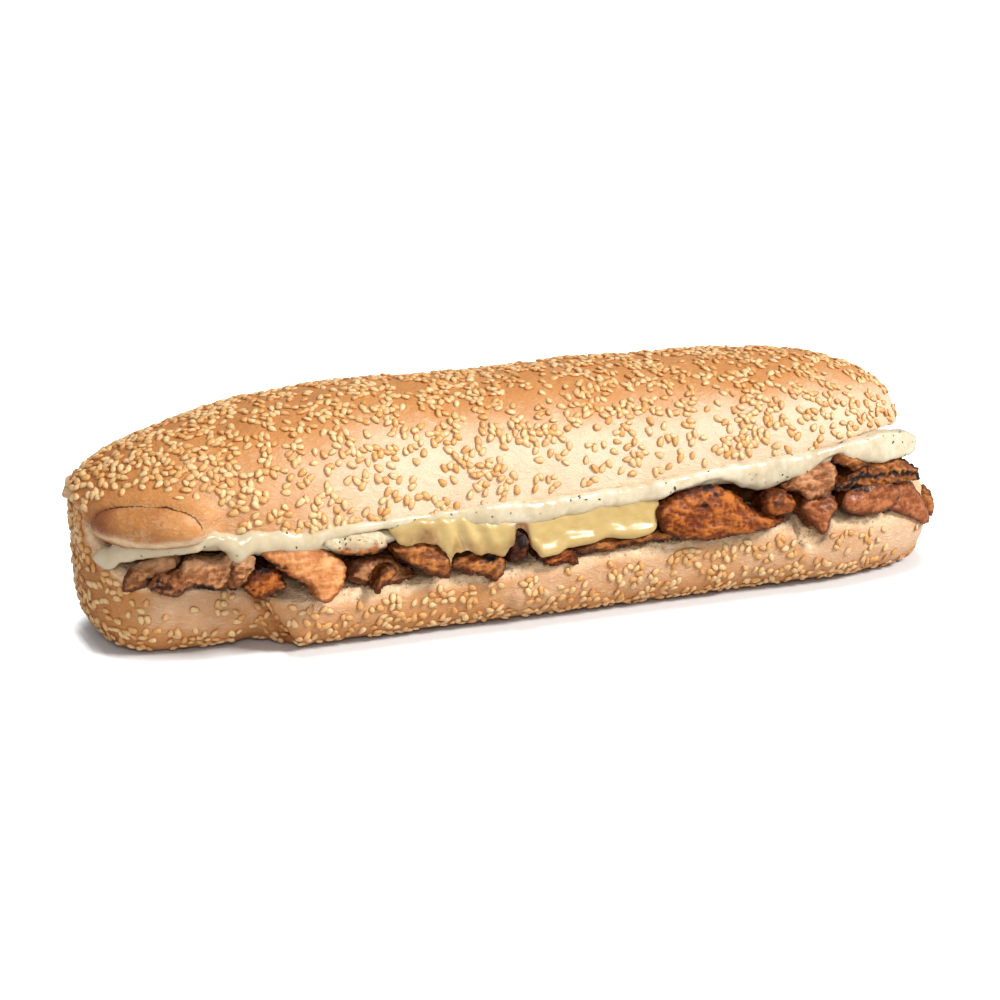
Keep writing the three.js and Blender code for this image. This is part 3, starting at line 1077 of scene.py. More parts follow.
@dataclass(frozen=True)
class CheeseFinish:
    """Melted pale cheese, satin, with the browning under it showing through in places."""

    pale: Colour = (0.53, 0.380, 0.152)
    deep: Colour = (0.46, 0.305, 0.100)
    under: Colour = (0.20, 0.075, 0.022)

    def material(self, effects: SharedEffects) -> bpy.types.Material:
        """The cheese's material, which reads the point value under.

        Args:
            effects: the shared node groups.

        Returns:
            The material.
        """
        look = Finish("melted_cheese", effects)
        desk = look.desk
        place = desk.place()
        body = look.mottle(desk.place((0.6, 1.0, 1.6)), 90.0, self.deep, self.pale)
        patch = look.patches(place, 130.0)
        showing = desk.times(desk.value("under"), desk.span(patch, 0.0, 1.0, 0.55, 1.0))
        look.set(
            Base_Color=desk.blend(showing, body.outputs["Color"], self.under),
            Roughness=desk.span(patch, 0.0, 1.0, 0.30, 0.44),
            Normal=desk.bump(look.grit(place, 190.0, 1100.0), 0.10, 0.4),
            Specular_IOR_Level=0.4,
            Coat_Weight=0.1,
            Coat_Roughness=0.15,
            Subsurface_Weight=0.3,
            Subsurface_Radius=(1.0, 0.75, 0.25),
            Subsurface_Scale=0.003,
        )
        return look.material


@dataclass(frozen=True)
class HerbFinish:
    """Dried herb flecks, from black to dark green."""

    black: Colour = (0.012, 0.011, 0.006)
    green: Colour = (0.060, 0.066, 0.020)

    def material(self, effects: SharedEffects) -> bpy.types.Material:
        """The flecks' material, which reads the point value tone.

        Args:
            effects: the shared node groups.

        Returns:
            The material.
        """
        look = Finish("herb_fleck", effects)
        desk = look.desk
        patch = look.mottle(desk.place(), 900.0, self.black, self.green).outputs["Color"]
        look.set(
            Base_Color=desk.blend(desk.value("tone"), patch, self.green),
            Roughness=0.45,
            Normal=desk.bump(look.grit(desk.place(), 1500.0, 3500.0), 0.08, 0.7),
        )
        return look.material


@dataclass(frozen=True)
class CrumbFinish:
    """Loose white crumbs."""

    light: Colour = (0.70, 0.56, 0.40)
    shade: Colour = (0.52, 0.34, 0.18)

    def material(self, effects: SharedEffects) -> bpy.types.Material:
        """The crumbs' material.

        Args:
            effects: the shared node groups.

        Returns:
            The material.
        """
        look = Finish("loose_crumb", effects)
        desk = look.desk
        colour = look.mottle(desk.place(), 700.0, self.shade, self.light)
        look.set(
            Base_Color=colour.outputs["Color"],
            Roughness=0.9,
            Normal=desk.bump(look.grit(desk.place(), 1400.0, 3500.0), 0.2, 0.8),
        )
        return look.material


# Things that are scattered over a surface

@dataclass(frozen=True)
class Scatter:
    """Grains strewn over a surface, where a point value of the surface says how thickly."""

    name: str
    field: str
    spacing: float
    density: float
    tilt: float
    smallest: float
    largest: float
    seed: int
    size_draw: float = 7.0
    tone_draw: float = 19.0

    def tree(self) -> bpy.types.NodeTree:
        """Geometry nodes that strew turned and scaled copies of a grain.

        Returns:
            The node group.
        """
        sockets = {
            "Geometry": "Geometry", "Grain": "Object", "Spacing": "Float", "Density": "Float",
            "Tilt": "Float", "Smallest": "Float", "Largest": "Float", "Seed": "Int", "Finish": "Material",
        }
        tree = new_tree(self.name + "_scatter", "GeometryNodeTree", sockets, {"Geometry": "Geometry"})
        desk = Desk(tree)
        given = desk.add("NodeGroupInput").outputs
        seed = given["Seed"]
        field = desk.add("GeometryNodeInputNamedAttribute", {"Name": self.field}, data_type="FLOAT")
        spread = {
            "Mesh": given["Geometry"], "Distance Min": given["Spacing"], "Density Max": given["Density"],
            "Density Factor": field.outputs["Attribute"], "Seed": seed,
        }
        strewn = desk.add("GeometryNodeDistributePointsOnFaces", spread, distribute_method="POISSON")
        grain = desk.add("GeometryNodeObjectInfo", {"Object": given["Grain"], "As Instance": True})
        back = desk.times(given["Tilt"], -1.0)
        least = desk.add("ShaderNodeCombineXYZ", {"X": back, "Y": back, "Z": -math.pi})
        most = desk.add("ShaderNodeCombineXYZ", {"X": given["Tilt"], "Y": given["Tilt"], "Z": math.pi})
        angles = {0: least.outputs[0], 1: most.outputs[0], "Seed": seed}
        spin = desk.add("FunctionNodeRandomValue", angles, data_type="FLOAT_VECTOR")
        twist = desk.add("FunctionNodeEulerToRotation", {"Euler": spin.outputs[0]})
        turning = {"Rotation": strewn.outputs["Rotation"], "Rotate By": twist.outputs[0]}
        turn = desk.add("FunctionNodeRotateRotation", turning, rotation_space="LOCAL")
        sizes = {2: given["Smallest"], 3: given["Largest"], "Seed": desk.plus(seed, self.size_draw)}
        size = desk.add("FunctionNodeRandomValue", sizes, data_type="FLOAT")
        copies = {
            "Points": strewn.outputs["Points"], "Instance": grain.outputs["Geometry"],
            "Rotation": turn.outputs[0], "Scale": size.outputs[1],
        }
        laid = desk.add("GeometryNodeInstanceOnPoints", copies)
        draw = {"Seed": desk.plus(seed, self.tone_draw)}
        tone = desk.add("FunctionNodeRandomValue", draw, data_type="FLOAT")
        kept = {"Name": "tone", "Geometry": laid.outputs["Instances"], "Value": tone.outputs[1]}
        toned = desk.add("GeometryNodeStoreNamedAttribute", kept, data_type="FLOAT", domain="INSTANCE")
        real = desk.add("GeometryNodeRealizeInstances", {"Geometry": toned.outputs["Geometry"]})
        dress = {"Geometry": real.outputs["Geometry"], "Material": given["Finish"]}
        dressed = desk.add("GeometryNodeSetMaterial", dress)
        desk.add("NodeGroupOutput", {"Geometry": dressed.outputs["Geometry"]})
        return tree

    def over(
        self, ground: bpy.types.Object, grain: bpy.types.Object, finish: bpy.types.Material, slot: str
    ) -> None:
        """Strews the grain over the ground as one finished piece.

        Args:
            ground: the surface, which isn't changed.
            grain: one grain about the origin, in metres.
            finish: the grains' material.
            slot: the record's material slot.
        """
        host = ground.copy()
        host.data = ground.data.copy()
        bpy.context.scene.collection.objects.link(host)
        tree = self.tree()
        strew = host.modifiers.new("strew", "NODES")
        strew.node_group = tree
        values = {
            "Grain": grain, "Spacing": self.spacing * MM, "Density": self.density / MM**2,
            "Tilt": self.tilt, "Smallest": self.smallest, "Largest": self.largest,
            "Seed": self.seed, "Finish": finish,
        }
        for item in tree.interface.items_tree:
            if item.in_out == "INPUT" and item.name in values:
                strew[item.identifier] = values[item.name]
        piece = settle(host, self.name)
        finish_piece(piece, finish, slot)


def grain_thing(name: str, points: Array, faces: Faces, edge: Array) -> bpy.types.Object:
    """One small grain about the origin.

    Args:
        name: its name.
        points: places in millimetres.
        faces: its faces.
        edge: how brown each point is, from browning at a seed's tip and rim and painted shade at its lower
            rim.

    Returns:
        The object, which isn't part of the sandwich and is removed after use.
    """
    mesh = bpy.data.meshes.new(name)
    mesh.from_pydata((points * MM).tolist(), [], faces)
    data = mesh.attributes.new("edge", "FLOAT", "POINT")
    data.data.foreach_set("value", edge.astype(np.float32))
    body = bmesh.new()
    body.from_mesh(mesh)
    bmesh.ops.remove_doubles(body, verts=body.verts, dist=1e-6)
    bmesh.ops.recalc_face_normals(body, faces=body.faces)
    body.to_mesh(mesh)
    body.free()
    mesh.shade_smooth()
    return linked(name, mesh)


@dataclass(frozen=True)
class SeedGrain:
    """One hulled sesame seed, a flat teardrop."""

    length: float = 3.75
    width: float = 2.75
    height: float = 1.3
    around: int = 7
    along: int = 5
    sunk: float = 0.16

    def build(self) -> bpy.types.Object:
        """The seed about its middle, flat side down, with its tip browned and its lower rim browned and
        darkened with painted shade.

        Returns:
            The object.
        """

        def place(u: Array, v: Array) -> Spots:
            """A point of the teardrop's ring.

            Args:
                u: share of the way round the ring.
                v: share of the way along the tube.

            Returns:
                x, y and z of the points.
            """
            way = v * math.pi
            x = 0.5 * self.length * -np.cos(way)
            girth = np.sin(way) ** 0.85 * (1.0 + 0.34 * np.cos(way))
            angle = u * 2.0 * math.pi
            y = 0.44 * self.width * girth * np.cos(angle)
            z = 0.5 * self.height * girth * np.sin(angle)
            return x, y, z + self.sunk

        points, faces = loft(self.around, self.along, place)
        # The lower rim, where the seed meets the bread, is darker: partly browning, partly painted shade.
        lift = (points[:, 2] - self.sunk) / (0.5 * self.height)
        tip = ease(0.55, 1.0, points[:, 0] / (0.5 * self.length))
        edge = np.clip(ease(0.82, -0.05, lift) + 0.75 * tip, 0.0, 1.0)
        return grain_thing("seed_grain", points, faces, edge)


@dataclass(frozen=True)
class FleckGrain:
    """One thin flake of dried herb."""

    length: float = 1.25
    width: float = 0.62
    height: float = 0.16

    def build(self) -> bpy.types.Object:
        """The flake about its middle.

        Returns:
            The object.
        """
        corners = np.array([
            [0.5, 0.1], [0.2, 0.5], [-0.3, 0.42], [-0.5, -0.15], [-0.1, -0.5], [0.36, -0.36],
        ])
        flat = corners * np.array([self.length, self.width])
        top = np.column_stack([flat, np.full(6, 0.6 * self.height)])
        low = np.column_stack([flat * 0.8, np.full(6, -0.4 * self.height)])
        sides = [(i, (i + 1) % 6, 6 + (i + 1) % 6, 6 + i) for i in range(6)]
        faces = [tuple(range(6)), tuple(range(11, 5, -1)), *sides]
        return grain_thing("fleck_grain", np.concatenate([top, low]), faces, np.zeros(12))


@dataclass(frozen=True)
class CrumbGrain:
    """One ragged crumb of bread."""

    size: float = 1.1
    around: int = 7
    along: int = 5

    def build(self) -> bpy.types.Object:
        """The crumb about its middle.

        Returns:
            The object.
        """

        def place(u: Array, v: Array) -> Spots:
            """A point of the lump.

            Args:
                u: share of the way round the ring.
                v: share of the way along the tube.

            Returns:
                x, y and z of the points.
            """
            girth = np.sin(v * math.pi)
            lump = 0.5 * self.size * (1.0 + 0.3 * np.sin(7.0 * u * math.pi + 5.0 * v) * girth)
            angle = u * 2.0 * math.pi
            x = lump * girth * np.cos(angle)
            y = 0.8 * lump * girth * np.sin(angle)
            return x, y, -0.6 * lump * np.cos(v * math.pi)

        points, faces = loft(self.around, self.along, place)
        return grain_thing("crumb_grain", points, faces, np.zeros(len(points)))


# The sandwich

@dataclass
class BreadRoll:
    """The whole roll: crown, lower half, dough bulge, crease and torn notch, with its seeds and crumbs."""

    form: RollForm
    effects: SharedEffects
    voxel: float = 1.24
    smooth: int = 3
    bulge: Ball = Ball((-131.8, -24.1, 45.1), (20.5, 14.0, 8.2), (0.0, -4.0, -41.0))
    socket: Ball = Ball((-134.5, -27.0, 45.8), (22.5, 9.8, 8.4), (0.0, 0.0, -41.0))
    socket_eye: tuple[float, float, float] = (-141.0, -34.5, 47.0)
    tear: Ball = Ball((97.0, -43.0, 25.0), (6.5, 10.0, 10.0))
    tear_eye: tuple[float, float, float] = (97.0, -46.5, 28.5)
    around: int = 190
    along: int = 280

    def build(self) -> bpy.types.Object:
        """Makes the roll, then its seeds and crumbs.

        Returns:
            The object.
        """
        thing = self.shape()
        skin = Skin(thing)
        crumb = self.crumb_mask(skin)
        self.relief(skin, crumb)
        self.paint(skin, crumb)
        self.seed_field(skin, crumb)
        finish_piece(thing, CrustFinish().material(self.effects), "bread", "bread_roll")
        self.strew(thing)
        return thing

    def shape(self) -> bpy.types.Object:
        """One even skin over both halves and the bulge.

        Returns:
            The object.
        """
        crown, crown_faces = self.form.half_skin(self.form.crown, self.around, self.along)
        heel, heel_faces = self.form.half_skin(self.form.heel, self.around, self.along)
        crown = self.socket.hollowed(crown, self.socket_eye)
        heel = self.tear.hollowed(heel, self.tear_eye)

        def bulge_place(u: Array, v: Array) -> Spots:
            """A point of the dough bulge.

            Args:
                u: share of the way round the ring.
                v: share of the way along the tube.

            Returns:
                x, y and z of the points.
            """
            girth = np.sin(v * math.pi) ** 0.72
            angle = u * 2.0 * math.pi
            length = signed_power(np.cos(v * math.pi), 0.85)
            local = np.stack(np.broadcast_arrays(length, girth * np.cos(angle), girth * np.sin(angle)), -1)
            world = self.bulge.world(local)
            return world[..., 0], world[..., 1], world[..., 2]

        parts = [(crown, crown_faces), (heel, heel_faces), loft(60, 40, bulge_place)]
        return melted(mesh_thing("bread", parts), self.voxel, self.smooth)

    def crumb_mask(self, skin: Skin) -> Array:
        """1 on the cut crumb and on the torn top of the lower half's front, 0 on the crust.

        Args:
            skin: the piece's skin.

        Returns:
            One value a point.
        """
        x, y, z = skin.points.T
        facing = skin.normals[:, 2]
        ragged = ripple(skin.points, 4.0, 11, 2)
        under = self.form.lower(x, y) - z
        low = (np.abs(under) < 1.5 + 0.5 * ragged) & (facing > 0.3)
        high = (np.abs(z - self.form.upper(x, y)) < 1.2) & (facing < -0.3) & (z > 30.0)
        torn = (self.tear.depth(skin.points) < 1.1) & (z > 10.0)
        band = 3.2 * ease(-100.0, -84.0, x) * ease(146.0, 128.0, x) + 1.3 * ragged
        rim = (under < band) & (under > -2.0) & (y < -20.0)
        return skin.softened(np.where(low | high | torn | rim, 1.0, 0.0), 2)

    def relief(self, skin: Skin, crumb: Array) -> None:
        """Uneven dough, creases and torn crumb, moved into the mesh.

        Args:
            skin: the piece's skin.
            crumb: 1 on the cut crumb, 0 on the crust.
        """
        points = skin.points
        x, y, z = points.T
        resting = ease(0.3, 4.0, z)
        broad = 0.9 * ripple(points, 42.0, 1) + 0.38 * ripple(points, 15.0, 2, 2)
        fine = 0.13 * ripple(points, 4.0, 3, 2)
        local = self.bulge.local(points)
        near = ease(1.5, 1.1, np.linalg.norm(local, axis=1))
        crust = (broad * (1.0 - near) + fine) * resting
        front = ease(-10.0, -25.0, y)
        crust -= 3.0 * bell(self.fold(points), 0.0, 1.5) * ease(26.0, 18.0, z) * front * ease(0.2, 2.0, z)
        crust += 1.4 * bell(self.fold(points), 4.5, 3.0) * ease(24.0, 16.0, z) * front * ease(0.2, 2.0, z)
        crust += 0.8 * bell(z + 0.05 * x, 15.0, 1.2) * bell(x, -28.0, 9.0) * front
        flake = ease(4.8, 3.9, np.hypot(x + 13.0, 1.2 * (z - 9.5)) + 1.2 * ripple(points, 3.0, 10))
        crust += 1.1 * flake * front
        crust += 2.4 * ease(122.0, 150.0, x) * ease(24.0, 15.0, z) * ease(0.5, 5.0, z)
        behind = near * ease(0.0, 0.2, local[:, 2]) * ease(1.15, 0.95, np.abs(local[:, 0]))
        crust += behind * (1.1 * ease(-0.50, -0.30, local[:, 1]) - 0.9 * bell(local[:, 1], -0.46, 0.10))
        fluff = 0.75 * ripple(points, 4.2, 4, 2) - 0.8 * np.abs(ripple(points, 2.6, 5, 2)) + 0.35
        fluff *= mix(1.0, 0.25, ease(34.0, 38.0, z))
        rim = ease(-24.0, -34.0, y) * ease(0.2, -0.4, skin.normals[:, 1]) * (z < 36.0)
        skin.raise_by(mix(crust, fluff - 1.3 * rim, crumb))

    def fold(self, points: Array) -> Array:
        """Distance from the crease at the lower left, in millimetres."""
        x, _, z = points.T
        return (x + 104.0) - (22.0 - z) * 0.62

    def paint(self, skin: Skin, crumb: Array) -> None:
        """Browning, with painted shade towards the left end and in the crease, the split's painted shadow
        line, seams and crazing, kept as point values.

        Args:
            skin: the piece's skin.
            crumb: 1 on the cut crumb, 0 on the crust.
        """
        points = skin.points
        x, _, z = points.T
        upper = ease(30.0, 40.0, z)
        # Browner towards the left end: partly browner crust, partly painted shade away from the light on the
        # right.
        brown_and_shade_left = 0.30 * ease(-50.0, -110.0, x) + 0.34 * ease(-108.0, -144.0, x)
        crown = 1.05 - (1.0 - 0.52 * ease(57.0, 78.0, z)) * (1.0 - brown_and_shade_left) + 0.12 * ease(118.0, 150.0, x)
        # Lower half browner towards the left end and paler towards the right: partly browning, partly
        # painted shade from the light on the right.
        heel = 0.34 + 0.06 * ease(-30.0, -70.0, x) + 0.36 * ease(-130.0, -150.0, x)
        heel -= 0.10 * ease(60.0, 140.0, x)
        # Darker near the base, and painted shade down in the crease at the lower left.
        heel += 0.22 * ease(12.0, 1.0, z) + 0.30 * bell(self.fold(points), 0.0, 1.4) * ease(22.0, 16.0, z)
        bake = mix(heel, crown, upper) + 0.10 * ripple(points, 24.0, 6, 2)
        local = self.bulge.local(points)
        depth = np.linalg.norm(local, axis=1)
        side, ahead, above = local.T
        bare = np.maximum(ease(-0.36, -0.46, ahead), ease(0.1, -0.05, above))
        on_bulge = ease(1.26, 1.14, depth) * bare
        glazed = 0.72 + 0.42 * ease(-0.2, -0.75, side) - 0.30 * ease(0.3, 0.95, side)
        bake = mix(bake, glazed + 0.10 * ripple(points, 6.0, 9, 2), on_bulge)
        # Where the dough has split round the bulge; the crust paints a dark shadow line along it.
        split = ease(0.85, 0.95, depth) * ease(1.3, 1.2, depth)
        split = split * ease(-0.1, 0.1, above) * ease(-0.95, -0.7, side)
        skin.store("bake", np.clip(bake, 0.0, 1.2))
        skin.store("crumb", crumb)
        skin.store("seam", 14.0 * (ahead + 0.44))
        skin.store("crack", split)
        skin.store("crackle", on_bulge * bell(side, 0.1, 0.42))

    def seed_field(self, skin: Skin, crumb: Array) -> None:
        """How thickly seeds lie, kept as one point value for each half.

        Args:
            skin: the piece's skin.
            crumb: 1 on the cut crumb, 0 on the crust.
        """
        points = skin.points
        x, y, z = points.T
        clump = ease(-0.4, 0.4, ripple(points, 8.0, 7, 2))
        local = self.bulge.local(points)
        strip = ease(1.12, 1.45, np.linalg.norm(local, axis=1))
        bare = ease(0.25, 0.05, crumb) * strip
        lip = z - self.form.upper(x, y)
        above = (lip > 0.0) & (self.form.openness(x, y) > -0.2) | (z > 40.0)
        over_lip = np.where(y < 10.0, lip, 9.0)
        crown = mix(0.60, 0.85, ease(46.0, 70.0, z)) * mix(0.30, 1.0, clump) * ease(0.2, 2.6, over_lip)
        crown = np.maximum(crown, 0.85 * ease(-132.0, -146.0, x) * ease(38.0, 42.0, z))
        crown = np.maximum(crown, 0.95 * mix(0.5, 1.0, clump) * ease(-70.0, -110.0, x) * ease(46.0, 52.0, z))
        under = self.form.lower(x, y) - z
        heel = mix(0.30, 1.0, clump) * ease(2.0, 5.0, np.where(y < 10.0, under, 9.0))
        heel = np.maximum(heel, 0.9 * ease(8.0, 3.5, z))
        heel *= mix(1.0, 0.75, ease(-92.0, -100.0, x) * ease(-146.0, -136.0, x) * ease(4.0, 8.0, z))
        heel *= mix(1.0, 0.15, ease(118.0, 140.0, x) * ease(3.0, 6.0, z))
        heel = np.maximum(heel, 0.95 * ease(-136.0, -146.0, x) * ease(44.0, 34.0, z))
        heel *= ease(1.2, 2.2, z)
        skin.store("crown_seeds", np.where(above, crown, 0.0) * bare)
        skin.store("heel_seeds", np.where(above, 0.0, heel) * bare)
        rim = crumb * (skin.normals[:, 2] > 0.1) * ease(-24.0, -34.0, y) * (z < 36.0)
        skin.store("crumbs", rim * mix(0.2, 1.0, clump))

    def strew(self, thing: bpy.types.Object) -> None:
        """Seeds on both halves, and loose crumbs on the lower rim.

        Args:
            thing: the finished roll.
        """
        seed = SeedGrain().build()
        finish = SeedFinish().material(self.effects)
        crown = Scatter(
            "crown_seeds", "crown_seeds",
            spacing=1.75, density=0.50, tilt=0.30, smallest=0.82, largest=1.08, seed=5,
        )
        heel = Scatter(
            "heel_seeds", "heel_seeds",
            spacing=1.8, density=0.22, tilt=0.26, smallest=0.80, largest=1.06, seed=8,
        )
        for half in (crown, heel):
            half.over(thing, seed, finish, "bread")
        bpy.data.objects.remove(seed)
        crumb = CrumbGrain().build()
        loose = Scatter(
            "rim_crumbs", "crumbs",
            spacing=0.9, density=0.35, tilt=0.6, smallest=0.4, largest=1.2, seed=3,
        )
        loose.over(thing, crumb, CrumbFinish().material(self.effects), "bread")
        bpy.data.objects.remove(crumb)


@dataclass(frozen=True)
class Slice:
    """One piece of chicken: where its face stands, its turn about Z, its outline there and its cooking."""

    at: tuple[float, float]
    turn: float
    tone: MeatTone
    outline: tuple[tuple[float, float], ...]
    depth: float = 11.0
    swell: float = 2.0
    rough: float = 1.0
    lean: float = 0.2
    film: float = 0.0
    film_from: float = 36.0

    def axes(self) -> tuple[Array, Array]:
        """Directions along the face and back from it."""
        angle = math.radians(self.turn)
        return np.array([math.cos(angle), math.sin(angle)]), np.array([-math.sin(angle), math.cos(angle)])

    def rounded(self) -> Array:
        """The outline with its corners cut.

        Returns:
            The outline's new corners.
        """
        ring = np.array(self.outline, dtype=float)
        after = np.roll(ring, -1, axis=0)
        return np.stack([mix(ring, after, 0.22), mix(ring, after, 0.78)], axis=1).reshape(-1, 2)

    def solid(self) -> Solid:
        """A closed block from the outline at the front to a smaller one at the back.

        Returns:
            Points and faces.
        """
        along, back = self.axes()
        ring = self.rounded()
        count = len(ring)
        middle = ring.mean(axis=0)
        points = []
        for share, depth in ((1.0, 0.0), (0.86, self.depth)):
            face = middle + (ring - middle) * share
            away = depth + self.lean * (face[:, 1] - middle[1])
            flat = np.array(self.at) + face[:, :1] * along + away[:, None] * back
            points.append(np.column_stack([flat, face[:, 1]]))
        sides = [(i, (i + 1) % count, count + (i + 1) % count, count + i) for i in range(count)]
        front = tuple(range(count))
        behind = tuple(range(2 * count - 1, count - 1, -1))
        return np.concatenate(points), [front, behind, *sides]

    def inset(self, points: Array) -> Array:
        """How far inside the outline each point lies, seen square to the face.

        Args:
            points: places in millimetres.

        Returns:
            One distance a point.
        """
        along, _ = self.axes()
        spot = np.column_stack([(points[:, :2] - np.array(self.at)) @ along, points[:, 2]])
        ring = self.rounded()
        nearest = np.full(len(spot), 1e9)
        for start, end in zip(ring, np.roll(ring, -1, axis=0)):
            edge = end - start
            share = np.clip((spot - start) @ edge / max(edge @ edge, 1e-9), 0.0, 1.0)
            nearest = np.minimum(nearest, np.linalg.norm(spot - start - share[:, None] * edge, axis=1))
        return nearest


CHICKEN = (
    Slice((-134, -28), -32, MeatTone.TAN, (
        (-10.5, 27.5), (-7, 31.5), (0, 34.5), (6, 36), (8, 31.5), (1, 28), (-2.5, 24), (-10.5, 22),
    ), rough=0.6, film=0.75, film_from=32.0),
    Slice((-122, -35), -16, MeatTone.TAN, (
        (-16, 26), (-13.5, 29), (-9.5, 30), (-5.5, 30), (-4.5, 33), (0, 34), (7, 33.6),
        (11.5, 35.8), (18, 34), (19, 30), (16, 25.5), (10.5, 24), (5, 23.5), (-0.5, 25), (-3.5, 24),
        (-6.5, 22), (-10, 23), (-14, 24.5),
    ), swell=1.6, rough=0.8, film=0.7, film_from=32.5),
    Slice((-106, -40), -4, MeatTone.TAN, (
        (-9, 25.5), (-6.5, 30.5), (-4.5, 35.5), (1, 36), (2.5, 31.5), (1, 29), (-3, 26.5),
        (-5.5, 23.5),
    ), rough=1.4, film=0.6, film_from=33.0),
    Slice((-100, -42), 0, MeatTone.RED, (
        (-8.5, 24.5), (-7.5, 27.5), (-4, 30), (-0.5, 32), (5, 30.5), (6, 24.5), (4.5, 22.5),
        (-1, 23), (-3, 21), (-6.5, 22),
    ), rough=1.7),
    Slice((-84, -44.5), 0, MeatTone.LIGHT, (
        (-20, 36.5), (-10.5, 37), (-2.5, 37), (4, 34.5), (8.5, 30), (8, 25.5), (5, 21), (0.5, 18),
        (-2.5, 20), (-4, 24), (-6.5, 26), (-11.5, 28.5), (-16, 32.5),
    ), swell=1.2, rough=0.5, lean=0.35),
    Slice((-71, -43.5), 0, MeatTone.BROWN, (
        (-12, 37), (-9.5, 40), (-2, 41.5), (5.5, 41), (10, 37.5), (9.5, 33), (1.5, 32), (-4.5, 33),
        (-8.5, 34),
    ), swell=1.4, rough=0.4, lean=0.45, film=1.0),
    Slice((-62, -44.5), 0, MeatTone.BROWN, (
        (-5.5, 21.5), (-2.5, 26), (2, 28), (4.5, 26), (2, 22.5), (-1, 21), (-3.5, 18.5),
    ), swell=0.7, depth=8),
    Slice((-64, -38), 0, MeatTone.TAN, (
        (-10.5, 22.5), (-7.5, 27), (-0.5, 30), (7, 29.5), (10, 24.5), (17, 22), (11.5, 20), (3, 19),
        (-4, 21),
    )),
    Slice((-48, -43.5), 0, MeatTone.BROWN, (
        (-13, 32.5), (-5.5, 36), (-1, 36), (6.5, 33), (9.5, 27.5), (7.5, 21.5), (4, 22),
        (-1.5, 24.5), (-6.5, 27.5),
    ), swell=1.5, rough=0.7, lean=0.4),
    Slice((-28, -43), 0, MeatTone.BROWN, (
        (-12, 23.5), (-9, 28.5), (-3, 30), (5.5, 29), (9, 23.5), (7.5, 20.5), (4, 17), (0, 20),
        (-7, 22),
    ), swell=1.6, rough=0.9, lean=0.4),
    Slice((-14, -44), 0, MeatTone.DARK, (
        (-4, 30), (-3, 34), (0, 34.5), (2.5, 31.5), (2, 25.5), (-2, 23.5), (-5.5, 24),
    ), swell=1.2),
    Slice((1, -43.5), 0, MeatTone.RED, (
        (-9.5, 23.5), (-3.5, 26), (3.5, 28), (6, 24), (5.5, 19.5), (1.5, 21), (-1.5, 20), (-5, 20),
    ), rough=1.4),
    Slice((20, -42), 0, MeatTone.BROWN, (
        (-16.5, 25), (-10, 28), (-1.5, 29), (5.5, 29), (15.5, 29), (23.5, 28), (23, 24.5), (9, 24),
        (-1.5, 23), (-10, 23),
    ), swell=1.2),
    Slice((57, -44.5), 0, MeatTone.RED, (
        (-22, 36.5), (-16, 40), (-8, 42), (0.5, 42), (8.5, 38), (14, 32.5), (21.5, 31), (29, 27.5),
        (21.5, 25), (10, 24), (-3.5, 23.5), (-12, 24.5), (-19, 27), (-22, 31.5),
    ), swell=3.0, rough=0.75, depth=14),
    Slice((80, -46), 0, MeatTone.RED, (
        (-6.5, 34), (-3.5, 37.5), (1.5, 38.5), (6, 36), (7, 32.5), (4, 29.5), (-1.5, 29),
        (-5.5, 31),
    ), swell=3.2, rough=0.7),
    Slice((96, -44.5), 4, MeatTone.HAM, (
        (-6.5, 31), (-4, 35), (3, 35), (9, 34), (10, 29), (6.5, 26.5), (4.5, 22.5), (2, 20),
        (-1, 24), (-4, 28),
    ), swell=1.2, rough=0.8, lean=0.3),
    Slice((97, -43), 4, MeatTone.TAN, (
        (-15.5, 39), (-9, 42), (-1, 47), (5, 48), (8.5, 44.5), (9.5, 39), (6, 35.5), (3.5, 33.5),
        (-1, 34), (-5, 33), (-7, 36), (-11, 37),
    ), swell=1.8, lean=0.4),
    Slice((114, -41), 8, MeatTone.BROWN, (
        (-11, 45), (-9, 51), (-5, 49.5), (1, 46), (5, 42.5), (1, 41), (-3.5, 42), (-8.5, 44),
    ), swell=1.0, depth=8),
    Slice((126, -37), 16, MeatTone.BROWN, (
        (-24.5, 35.5), (-20.5, 38), (-14, 40), (-9, 42.5), (-2, 44), (11, 43), (13.5, 42),
        (18, 38.5), (21, 34.5), (20.5, 32), (14, 32), (7, 33.5), (-1.5, 33), (-8.5, 33),
        (-13.5, 35), (-18.5, 34),
    ), swell=1.3, rough=1.2),
    Slice((116, -42.5), 6, MeatTone.HAM, (
        (-9.5, 30.5), (-6, 35), (1.5, 35.5), (7, 35), (16, 34.5), (17.5, 30.5), (13.5, 26.5),
        (7.5, 25), (0.5, 25), (-6.5, 26.5),
    ), swell=0.8, rough=0.5),
    Slice((138, -35), 26, MeatTone.HAM, (
        (-10.5, 25.5), (-5, 31), (2, 34), (8, 32.5), (13, 25), (15, 18), (12.5, 15), (4, 19),
        (-4, 22.5),
    ), swell=0.7, rough=0.4, lean=0.35),
    Slice((156.2, -18), 0, MeatTone.BROWN, (
        (-2.5, 25.5), (3, 26), (5, 21.5), (6, 18.5), (5, 14.5), (2, 14), (0.5, 17.5), (-2, 20.5),
    ), depth=9, swell=1.4),
)

